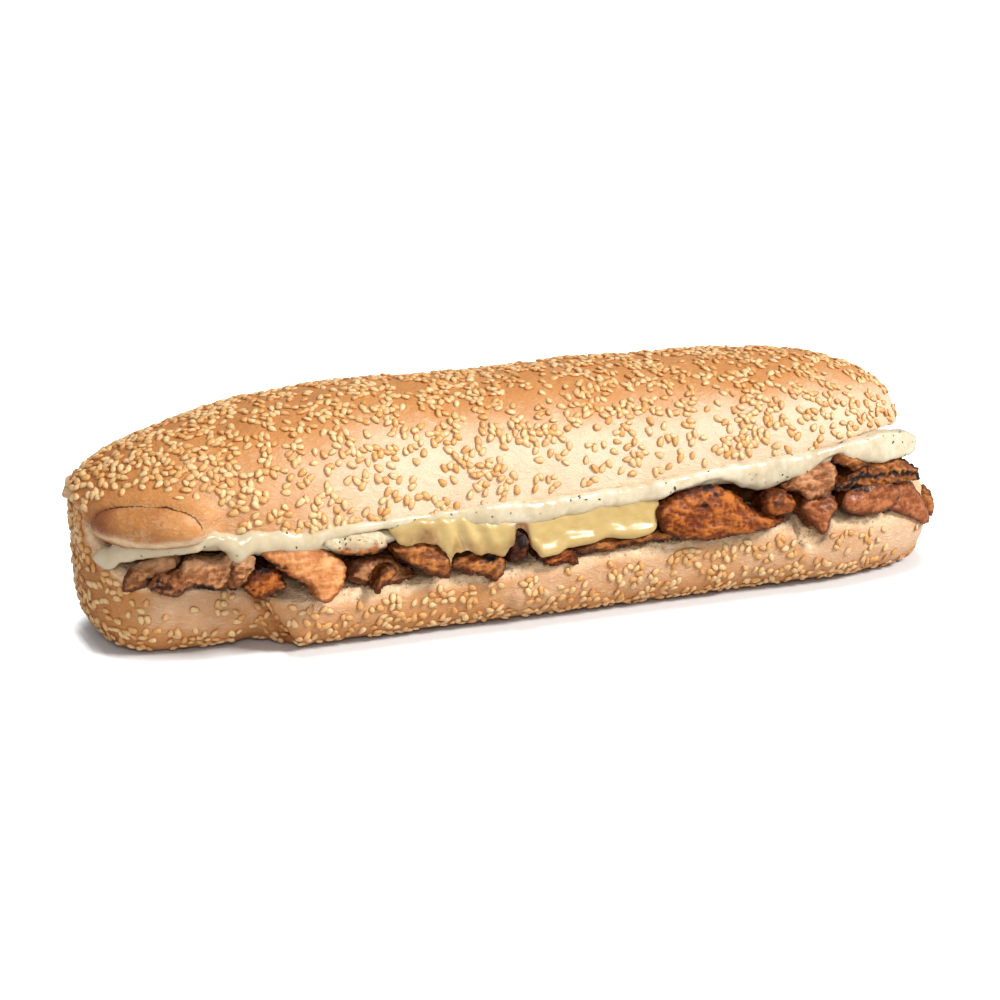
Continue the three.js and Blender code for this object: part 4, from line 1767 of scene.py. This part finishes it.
# Charred strokes: reach, strength, and the places along the roll and heights that each runs through
CHARRED = (
    (1.4, 1.0, ((-124.4, 26), (-120.6, 25.2), (-117.2, 24), (-111.9, 24.2))),
    (4.4, 0.72, ((-134, 26.7), (-130, 26.5))),
    (2.2, 0.8, ((-104, 30.3), (-100.5, 31.5), (-96, 30.2))),
    (0.9, 0.8, ((-75, 33.2), (-69.5, 32.4), (-62, 33.4))),
    (1.6, 0.9, ((-26.8, 26.4), (-25.2, 26.0))),
    (2.4, 1.0, ((-15.4, 31.6), (-14.6, 29.6))),
    (1.4, 1.0, ((18.2, 28.6), (21.5, 28.0), (24.2, 27.4))),
    (1.1, 0.9, ((6, 27), (8, 26.8))),
    (1.5, 1.0, ((51.5, 42.2), (55.5, 42.4))),
    (1.0, 0.9, ((56.3, 39.8), (56.7, 39.2))),
    (1.2, 0.9, ((51.8, 36.4), (52.3, 36.0))),
    (3.0, 0.42, ((77, 35.5), (80, 34.5))),
    (1.1, 1.0, ((103.9, 35.8), (109.7, 36.2), (115.9, 39.3), (119.9, 41))),
    (1.2, 1.0, ((116.5, 39), (124.1, 37.4), (130.8, 37.2), (137.5, 36.6), (143.3, 35.4), (145.5, 33.4))),
    (1.2, 1.0, ((138.5, 41.6), (141.5, 40), (143.6, 37.6))),
    (1.2, 1.0, ((112, 35.4), (115, 34.8), (118, 34.2))),
)


@dataclass
class Chicken:
    """Every piece of chicken at the mouth, and the meat that runs back behind them."""

    form: RollForm
    effects: SharedEffects
    voxel: float = 0.45
    bed_voxel: float = 1.2

    def build(self) -> None:
        """Makes each piece and the bed behind them."""
        finishes = {tone: MeatFinish(tone).material(self.effects) for tone in MeatTone}
        self.bed(finishes[MeatTone.BROWN])
        for number, piece in enumerate(CHICKEN, 1):
            self.piece(number, piece, finishes[piece.tone])

    def piece(self, number: int, piece: Slice, finish: bpy.types.Material) -> None:
        """One slice with a swollen face, torn edges, fibres and char.

        Args:
            number: the piece's number, from the left.
            piece: its outline and cooking.
            finish: its material.
        """
        name = f"chicken_{number:02d}"
        thing = melted(mesh_thing(name + "_meat", [piece.solid()]), self.voxel, 4)
        skin = Skin(thing)
        inset = piece.inset(skin.points)
        _, back = piece.axes()
        facing = ease(0.2, 0.8, -(skin.normals[:, :2] @ back))
        swell = piece.swell * facing * (1.0 - (1.0 - np.clip(inset / 5.0, 0.0, 1.0)) ** 2)
        points = skin.points.copy()
        points[:, :2] -= swell[:, None] * back
        skin.move(points)
        self.tear(skin, number, piece, inset)
        skin.store("char", self.char(skin.points))
        skin.store("sear", ease(2.6, 0.3, inset))
        height = skin.points[:, 2] + 1.6 * ripple(skin.points, 4.0, 15, 2)
        film = piece.film * ease(piece.film_from - 2.5, piece.film_from + 0.5, height)
        skin.store("film", film)
        skin.store("flecks", film)
        finish_piece(thing, finish, "chicken", name)
        if piece.film == 1.0:
            fleck = FleckGrain().build()
            herbs = Scatter(
                "film_flecks", "flecks",
                spacing=1.5, density=0.10, tilt=0.2, smallest=0.3, largest=1.1, seed=41,
            )
            herbs.over(thing, fleck, HerbFinish().material(self.effects), "sauce")
            bpy.data.objects.remove(fleck)

    def tear(self, skin: Skin, number: int, piece: Slice, inset: Array) -> None:
        """Lumps, fibres and torn edges, moved into the mesh, and their height kept as a point value for
        painted light on the lumps and painted shade in the pits.

        Args:
            skin: the piece's skin.
            number: the piece's number, from the left.
            piece: its outline and cooking.
            inset: how far inside the outline each point lies.
        """
        fibres = skin.points @ turned((0.0, 20.0 * math.sin(2.4 * number), 0.0)) * np.array([0.35, 1.0, 1.3])
        strand = ripple(fibres, 2.2, 60 + number, 2)
        pits = np.abs(ripple(skin.points, 2.4, 90 + number, 2))
        fray = ripple(skin.points, 1.7, 120 + number) * ease(2.2, 0.2, inset)
        broad = ripple(skin.points, 6.5, 20 + number, 2)
        uneven = min(1.0, 0.25 + piece.rough)
        lump = 0.07 + 0.55 * strand - 0.9 * pits + 0.25 * broad
        # The relief's height as a point value, which the material paints lighter on the lumps and darker in
        # the pits: painted light and shade.
        skin.store("lump", np.clip(0.55 + uneven * lump, 0.0, 1.0))
        skin.raise_by(piece.rough * (0.75 * broad + 0.42 * strand - 0.55 * pits + 0.5 * fray))

    def char(self, points: Array) -> Array:
        """How charred each point is, seen from the front.

        Args:
            points: places in millimetres.

        Returns:
            One value a point.
        """
        spot = points[:, [0, 2]]
        total = np.zeros(len(points))
        for reach, strength, stroke in CHARRED:
            for start, end in zip(np.array(stroke[:-1], dtype=float), np.array(stroke[1:], dtype=float)):
                edge = end - start
                share = np.clip((spot - start) @ edge / (edge @ edge), 0.0, 1.0)
                away = np.linalg.norm(spot - start - share[:, None] * edge, axis=1)
                total = np.maximum(total, strength * np.exp(-((away / reach) ** 2)))
        broken = np.clip(0.74 + 1.0 * ripple(points, 2.2, 77, 2), 0.2, 1.1)
        return total * broken * ease(-14.0, -24.0, points[:, 1])

    def bed(self, finish: bpy.types.Material) -> None:
        """The meat layer behind the front pieces.

        Args:
            finish: its material.
        """

        def place(u: Array, v: Array) -> Spots:
            """A point of the layer's ring.

            Args:
                u: share of the way round the ring.
                v: share of the way along the tube.

            Returns:
                x, y and z of the points.
            """
            angle = u * 2.0 * math.pi
            t = 1.0 - 2.0 * v
            x = mix(-128.0, 144.0, (1.0 + t) / 2.0)
            taper = np.maximum(1.0 - t**6, 0.0) ** 0.5
            back = np.minimum(14.0, self.form.hinge(x) - 14.0)
            y = mix(-26.0, back, 0.5 + 0.5 * taper * signed_power(np.sin(angle), 0.5))
            share = 0.5 - 0.5 * taper * signed_power(np.cos(angle), 0.5)
            x = np.broadcast_to(x, y.shape)
            low = self.form.lower(x, y) + 0.8
            return x, y, mix(low, np.maximum(self.form.upper(x, y) - 6.0, low + 0.5), share)

        thing = melted(mesh_thing("chicken_bed_meat", [loft(60, 200, place)]), self.bed_voxel, 3)
        skin = Skin(thing)
        skin.raise_by(0.7 * ripple(skin.points, 5.0, 140, 2))
        skin.store("char", 0.25 * ease(0.1, 0.7, ripple(skin.points, 9.0, 141)))
        skin.store("sear", np.full(len(skin.points), 0.6))
        skin.store("film", np.zeros(len(skin.points)))
        skin.store("lump", 0.35 + 0.3 * ripple(skin.points, 3.0, 142, 2))
        finish_piece(thing, finish, "chicken", "chicken_bed")


# Lower edge of the cheese: place along the roll and height
CHEESE_HEM = (
    (-61, 34.5), (-56, 32.6), (-50, 33.8), (-45, 32.8), (-42.4, 30), (-40.3, 25), (-38.2, 29.6),
    (-34.4, 29.1), (-28.4, 27.8), (-21, 26.3), (-18, 29.3), (-15.5, 35), (-13, 33.5), (-10.5, 27.5),
    (-7.5, 24.4), (-3, 24.6), (2.8, 26.8), (10.4, 26.6), (17, 28.3), (23.7, 27.2), (34, 27.2),
    (40, 30),
)

# The sauce's bead: place along the roll, and heights of its upper and lower edges
SAUCE_BEAD = (
    (-150, 35.4, 30.2), (-147, 36.9, 28.8), (-143, 38.3, 32.7), (-134.5, 40.3, 35.4),
    (-126, 41.1, 36.5), (-123, 40.0, 37.4), (-119.5, 43.1, 38.6), (-117, 43.7, 39.2),
    (-114, 42.7, 37.2), (-110, 42.0, 32.7), (-105, 43.2, 35.4), (-98, 42.8, 34.8),
    (-91, 41.8, 34.0), (-85, 41.2, 34.6), (-81, 41.7, 37.8), (-69, 42.4, 39.8), (-57, 42.8, 39.8),
    (-40, 43.2, 38.9), (-22, 44.1, 36.0), (-8, 43.5, 35.4), (6.4, 43.8, 37.0), (21, 44.5, 38.1),
    (36, 45.3, 39.3), (43, 46.1, 42.0), (58, 47.5, 44.0), (64, 48.0, 42.5), (70, 48.4, 39.3),
    (76, 48.6, 38.0), (90, 49.3, 41.2), (103, 50.7, 48.0), (106, 51.0, 48.6), (113, 51.8, 44.2),
    (127, 53.0, 42.1), (136, 51.4, 42.8), (144.3, 48.8, 43.2),
)


@dataclass(frozen=True)
class Layer:
    """A soft layer in the mouth: its ends, how deep it runs back, its thickness and its share of the gap."""

    left: float
    right: float
    back: float
    depth: float
    share: float


@dataclass
class SoftLayers:
    """The sauce and the cheese, which lie in the mouth and hang over the chicken."""

    form: RollForm
    effects: SharedEffects
    sauce: Layer = Layer(-148.5, 142.0, 6.0, 4.4, 0.3)
    cheese: Layer = Layer(-61.0, 37.0, 8.0, 3.0, 0.2)
    bend: float = 2.6
    cheese_voxel: float = 0.5
    sauce_voxel: float = 0.6

    def sauce_depth(self, x: Array, y: Array) -> Array:
        """Thickness of the sauce, with a thicker slab at the right end."""
        whole = self.sauce.depth * (1.0 + 0.5 * ease(100.0, 135.0, x))
        return np.minimum(whole, self.sauce.share * self.form.gap(x, y))

    def sauce_under(self, x: Array, y: Array) -> Array:
        """Height of the sauce's underside."""
        return self.form.upper(x, y) - 0.8 - self.sauce_depth(x, y)

    def cheese_depth(self, x: Array, y: Array) -> Array:
        """Thickness of the cheese."""
        return np.minimum(self.cheese.depth, self.cheese.share * self.form.gap(x, y))

    def cheese_edge(self, x: Array) -> Array:
        """Height of the cheese's lower edge, with its drip, its deep fold and its hem."""
        return flowing(x, *np.array(CHEESE_HEM, dtype=float).T)

    def path(
        self, x: Array, t: Array, back: float, front: Array, level: Height, edge: Array
    ) -> tuple[Array, Array]:
        """Middle line of a layer: along the mouth, round a bend at the front and down to the lip's edge.

        Args:
            x: stations along the roll.
            t: share of the line, from 0 at the back to 1 at the edge.
            back: how far back the layer runs.
            front: how far out its lip hangs.
            level: height of the layer in the mouth.
            edge: height of the lip's lower edge.

        Returns:
            y and z of the line.
        """
        inside = 0.45
        start = front + self.bend
        deepest = np.maximum(np.minimum(back, self.form.hinge(x) - 8.0), start + 2.0)
        y = mix(deepest, start, np.clip(t / inside, 0.0, 1.0))
        height = level(x, y)
        drop = np.maximum(height - edge, 0.5)
        part_turn = np.arccos(np.clip(1.0 - drop / self.bend, -1.0, 1.0))
        turn = np.where(drop < self.bend, part_turn, math.pi / 2.0)
        hang = np.maximum(drop - self.bend, 0.0)
        run = np.clip((t - inside) / (1.0 - inside), 0.0, 1.0) * (self.bend * turn + hang)
        angle = np.minimum(run / self.bend, turn)
        fall = self.bend * (1.0 - np.cos(angle)) + np.maximum(run - self.bend * turn, 0.0)
        return np.where(t <= inside, y, start - self.bend * np.sin(angle)), height - fall

    def drape(
        self, layer: Layer, around: int, along: int, path: Line, depth: Callable[..., Array]
    ) -> Solid:
        """A closed skin about a layer's middle line.

        Args:
            layer: the layer's ends.
            around: points in a ring.
            along: steps from end to end.
            path: y and z of the middle line for a station and a share of the line.
            depth: thickness at a station, a place across and a share of the line.

        Returns:
            Points and faces.
        """

        def place(u: Array, v: Array) -> Spots:
            """A point of the layer's ring.

            Args:
                u: share of the way round the ring.
                v: share of the way along the tube.

            Returns:
                x, y and z of the points.
            """
            angle = u * 2.0 * math.pi
            t = 1.0 - 2.0 * v
            x = mix(layer.left, layer.right, (1.0 + t) / 2.0)
            taper = np.maximum(1.0 - t**16, 0.0) ** 0.4
            way = np.clip(0.5 - 0.5 * taper * signed_power(np.sin(angle), 0.8), 0.0, 1.0)
            x = np.broadcast_to(x, way.shape)
            y, z = path(x, way)
            y0, z0 = path(x, np.maximum(way - 0.01, 0.0))
            y1, z1 = path(x, np.minimum(way + 0.01, 1.0))
            length = np.maximum(np.hypot(y1 - y0, z1 - z0), 1e-6)
            half = 0.5 * depth(x, y, way) * taper * signed_power(np.cos(angle), 0.6)
            return x, y - (z1 - z0) / length * half, z + (y1 - y0) / length * half

        return loft(around, along, place)

    def build(self) -> None:
        """Makes the cheese, then the sauce and its flecks."""
        self.build_cheese()
        self.build_sauce()

    def build_cheese(self) -> None:
        """The melted slice with its folds."""

        def path(x: Array, t: Array) -> tuple[Array, Array]:
            """The slice's middle line.

            Args:
                x: stations along the roll.
                t: share of the line.

            Returns:
                y and z of the line.
            """
            front = mix(-43.2, -41.6, ease(-18.0, -6.0, x)) + 0.4 * np.sin(x / 6.0)
            y, z = self.path(x, t, self.cheese.back, front, self.cheese_level, self.cheese_edge(x))
            return y - 0.20 * np.maximum(38.0 - z, 0.0) * ease(-34.0, -40.0, y), z

        def hem(x: Array, y: Array, t: Array) -> Array:
            """Thickness of the slice, thin over the left pieces and with a rolled hem at the right."""
            thick = mix(0.42, 0.62, ease(-16.0, -8.0, x))
            return self.cheese_depth(x, y) * thick * (1.0 + 1.3 * ease(0.80, 0.96, t) * ease(-14.0, -8.0, x))

        slab = self.drape(self.cheese, 90, 420, path, hem)
        thing = melted(mesh_thing("cheese", [slab]), self.cheese_voxel, 9)
        skin = Skin(thing)
        x, y, z = skin.points.T
        folds = 0.55 * np.sin(x * 0.9 + 0.35 * z) * bell(x, -34.0, 12.0)
        rolled = 0.6 * bell(z - self.cheese_edge(x), 2.4, 1.9) * ease(-14.0, -6.0, x)
        skin.raise_by(0.35 * ripple(skin.points, 7.0, 150, 2) + (folds + rolled) * ease(-36.0, -42.0, y))
        x, _, z = skin.points.T
        left = ease(-6.0, -16.0, x)
        hem = z - self.cheese_edge(x)
        patches = 0.8 * bell(x, -48.0, 3.5) * bell(z, 37.5, 2.4)
        patches += 0.8 * bell(x, -14.0, 3.5) * bell(z, 34.0, 5.0)
        patches += 0.75 * ease(6.5, 1.2, hem + 1.4 * ripple(skin.points, 4.0, 151))
        skin.store("under", np.clip(left * patches, 0.0, 1.0))
        finish_piece(thing, CheeseFinish().material(self.effects), "cheese", "cheese_slice")

    def cheese_level(self, x: Array, y: Array) -> Array:
        """Height of the cheese's middle, which rises at the front to tuck in behind the sauce's bead.

        Args:
            x: stations along the roll.
            y: places across the roll.

        Returns:
            One height a place.
        """
        level = self.sauce_under(x, y) - 0.6 - self.cheese_depth(x, y) / 2.0
        along, _, lower = np.array(SAUCE_BEAD, dtype=float).T
        return mix(level, np.maximum(level, flowing(x, along, lower) + 2.4), ease(-26.0, -37.0, y))

    def sauce_level(self, x: Array, y: Array) -> Array:
        """Height of the sauce's middle."""
        return self.sauce_under(x, y) + self.sauce_depth(x, y) / 2.0

    def build_sauce(self) -> None:
        """The sauce with its lip, drips and slab, and the herb flecks on it."""

        def front_of(x: Array) -> Array:
            """How far out the sauce's bead stands."""
            heel, crown = (self.form.half_width(half, x) for half in (self.form.heel, self.form.crown))
            return -np.maximum(heel, crown) - 0.6 + 0.6 * np.sin(x / 8.5)

        def path(x: Array, t: Array) -> tuple[Array, Array]:
            """The sauce's middle line, which ends inside the bead."""
            front = front_of(x) + 1.5
            return self.path(x, t, self.sauce.back, front, self.sauce_level, self.form.upper(x, front) - 4.0)

        def inside(x: Array, y: Array, t: Array) -> Array:
            """Thickness of the sauce inside the mouth."""
            return self.sauce_depth(x, y)

        def bead(u: Array, v: Array) -> Spots:
            """A point of the bead's ring.

            Args:
                u: share of the way round the ring.
                v: share of the way along the tube.

            Returns:
                x, y and z of the points.
            """
            along, upper, lower = np.array(SAUCE_BEAD).T
            x = mix(along[0], along[-1], 1.0 - v)
            tip = np.maximum(1.0 - np.abs(2.0 * v - 1.0) ** np.where(v < 0.5, 150.0, 60.0), 0.0) ** 0.5
            top = flowing(x, along, upper)
            low = flowing(x, along, lower)
            tall = 0.5 * (top - low) + 0.25
            deep = np.clip(0.85 * tall, 1.5, 3.6)
            angle = u * 2.0 * math.pi
            square = mix(0.85, 0.4, ease(110.0, 128.0, x))
            y = front_of(x) - 0.3 + deep - deep * tip * signed_power(np.cos(angle), square)
            z = 0.5 * (top + low) + tall * tip * signed_power(np.sin(angle), square)
            return np.broadcast_to(x, y.shape), y, z

        parts = [self.drape(self.sauce, 90, 700, path, inside), loft(40, 900, bead)]
        thing = melted(mesh_thing("sauce", parts), self.sauce_voxel, 5)
        skin = Skin(thing)
        flow = skin.points * np.array([1.0, 0.5, 0.35])
        skin.raise_by(0.42 * ripple(skin.points, 8.0, 160, 2) + 0.16 * ripple(flow, 3.4, 162, 2) + 0.1)
        x, y, _ = skin.points.T
        clump = ease(-0.2, 0.4, ripple(skin.points, 11.0, 161))
        skin.store("thin", ease(-50.0, -125.0, x) * 0.8)
        skin.store("flecks", ease(-16.0, -24.0, y) * mix(0.2, 1.0, clump))
        finish_piece(thing, SauceFinish().material(self.effects), "sauce", "herb_sauce")
        fleck = FleckGrain().build()
        finish = HerbFinish().material(self.effects)
        flecks = Scatter(
            "herb_flecks", "flecks",
            spacing=1.5, density=0.060, tilt=0.25, smallest=0.25, largest=0.95, seed=21,
        )
        leaves = Scatter(
            "herb_leaves", "flecks",
            spacing=6.0, density=0.008, tilt=0.25, smallest=0.70, largest=1.60, seed=33,
        )
        for herbs in (flecks, leaves):
            herbs.over(thing, fleck, finish, "sauce")
        bpy.data.objects.remove(fleck)


# Studio

@dataclass(frozen=True)
class Studio:
    """Pale floor, soft light and the camera of the photograph."""

    azimuth: float = -23.0
    elevation: float = 15.0
    distance: float = 0.8
    lens: float = 85.0
    sensor: float = 36.0
    target: tuple[float, float, float] = (-0.012, -0.01265, 0.037)
    surround: float = 0.46
    sun_strength: float = 4.0
    sun_width: float = 18.0
    sun_at: tuple[float, float, float] = (0.68, -0.64, 0.86)
    box_power: float = 3.0
    box_size: float = 0.28
    box_at: tuple[float, float, float] = (-0.38, -0.95, 0.50)
    aim: tuple[float, float, float] = (0.0, 0.0, 0.03)

    def build(self, effects: SharedEffects, roll: bpy.types.Object) -> None:
        """Sets the floor under the roll, the lights, the world and the camera.

        Args:
            effects: the shared node groups.
            roll: the finished roll.
        """
        self.floor(effects, roll)
        self.lights()
        self.camera()

    def floor(self, effects: SharedEffects, roll: bpy.types.Object) -> None:
        """A wide white floor that keeps only a narrow shadow along the roll's base.

        Args:
            effects: the shared node groups.
            roll: the finished roll, whose base the shadow follows.
        """
        reach = 40.0
        squash = 2.2
        steps = 150
        base_height = 0.008
        lines = [np.concatenate([[-reach], np.linspace(-end, end, steps), [reach]]) for end in (0.20, 0.10)]
        x, y = (axis.ravel() for axis in np.meshgrid(*lines, indexing="ij"))
        count = len(lines[1])
        corners = [i * count + j for i in range(len(lines[0]) - 1) for j in range(count - 1)]
        mesh = bpy.data.meshes.new("floor")
        faces = [(a, a + count, a + count + 1, a + 1) for a in corners]
        mesh.from_pydata(np.column_stack([x, y, np.zeros(len(x))]).tolist(), [], faces)
        base = to_frame(Skin(roll).points)
        base = base[base[:, 2] < base_height]
        tree = KDTree(len(base))
        for number, point in enumerate(base):
            tree.insert((squash * point[0], point[1], 0.0), number)
        tree.balance()
        away = np.array([tree.find((squash * a, b, 0.0))[2] for a, b in zip(x, y)])
        thing = linked("floor", mesh)
        Skin(thing).store("glow", ease(0.001, 0.013, away))
        look = Finish("pale_floor", effects)
        desk = look.desk
        camera_ray = desk.add("ShaderNodeLightPath").outputs["Is Camera Ray"]
        seen = desk.times(desk.value("glow"), camera_ray)
        look.set(Base_Color=(0.66, 0.66, 0.66), Roughness=0.9, Specular_IOR_Level=0.1)
        look.set(Emission_Color=desk.blend(seen, BLACK, (0.95, 0.95, 0.95)), Emission_Strength=1.0)
        mesh.materials.append(look.material)

    def lights(self) -> None:
        """A broad soft sun from the front right, a soft box at the front left and an even white surround."""
        world = bpy.data.worlds.new("surround")
        world.use_nodes = True
        background = world.node_tree.nodes["Background"]
        background.inputs["Color"].default_value = (*WHITE, 1.0)
        background.inputs["Strength"].default_value = self.surround
        bpy.context.scene.world = world
        sun = bpy.data.lights.new("key", "SUN")
        sun.energy = self.sun_strength
        sun.angle = math.radians(self.sun_width)
        box = bpy.data.lights.new("soft_box", "AREA")
        box.energy = self.box_power
        box.size = self.box_size
        for lamp, at in ((sun, self.sun_at), (box, self.box_at)):
            thing = linked(lamp.name, lamp)
            thing.location = at
            thing.rotation_euler = (Vector(self.aim) - Vector(at)).to_track_quat("-Z", "Y").to_euler()

    def camera(self) -> None:
        """The photograph's viewpoint."""
        turn = math.radians(self.azimuth)
        rise = math.radians(self.elevation)
        away = Vector((math.sin(turn) * math.cos(rise), -math.cos(turn) * math.cos(rise), math.sin(rise)))
        lens = bpy.data.cameras.new("camera")
        lens.lens = self.lens
        lens.sensor_width = self.sensor
        thing = linked("camera", lens)
        thing.location = Vector(self.target) + away * self.distance
        thing.rotation_euler = (-away).to_track_quat("-Z", "Y").to_euler()
        bpy.context.scene.camera = thing
        bpy.context.scene.view_settings.view_transform = "Standard"


def main() -> None:
    """Builds every piece of the sandwich and its studio."""
    logging.basicConfig(level=logging.INFO, format="%(name)s: %(message)s")
    effects = SharedEffects()
    form = RollForm()
    roll = BreadRoll(form, effects).build()
    Chicken(form, effects).build()
    SoftLayers(form, effects).build()
    Studio().build(effects, roll)


if __name__ == "__main__":
    main()
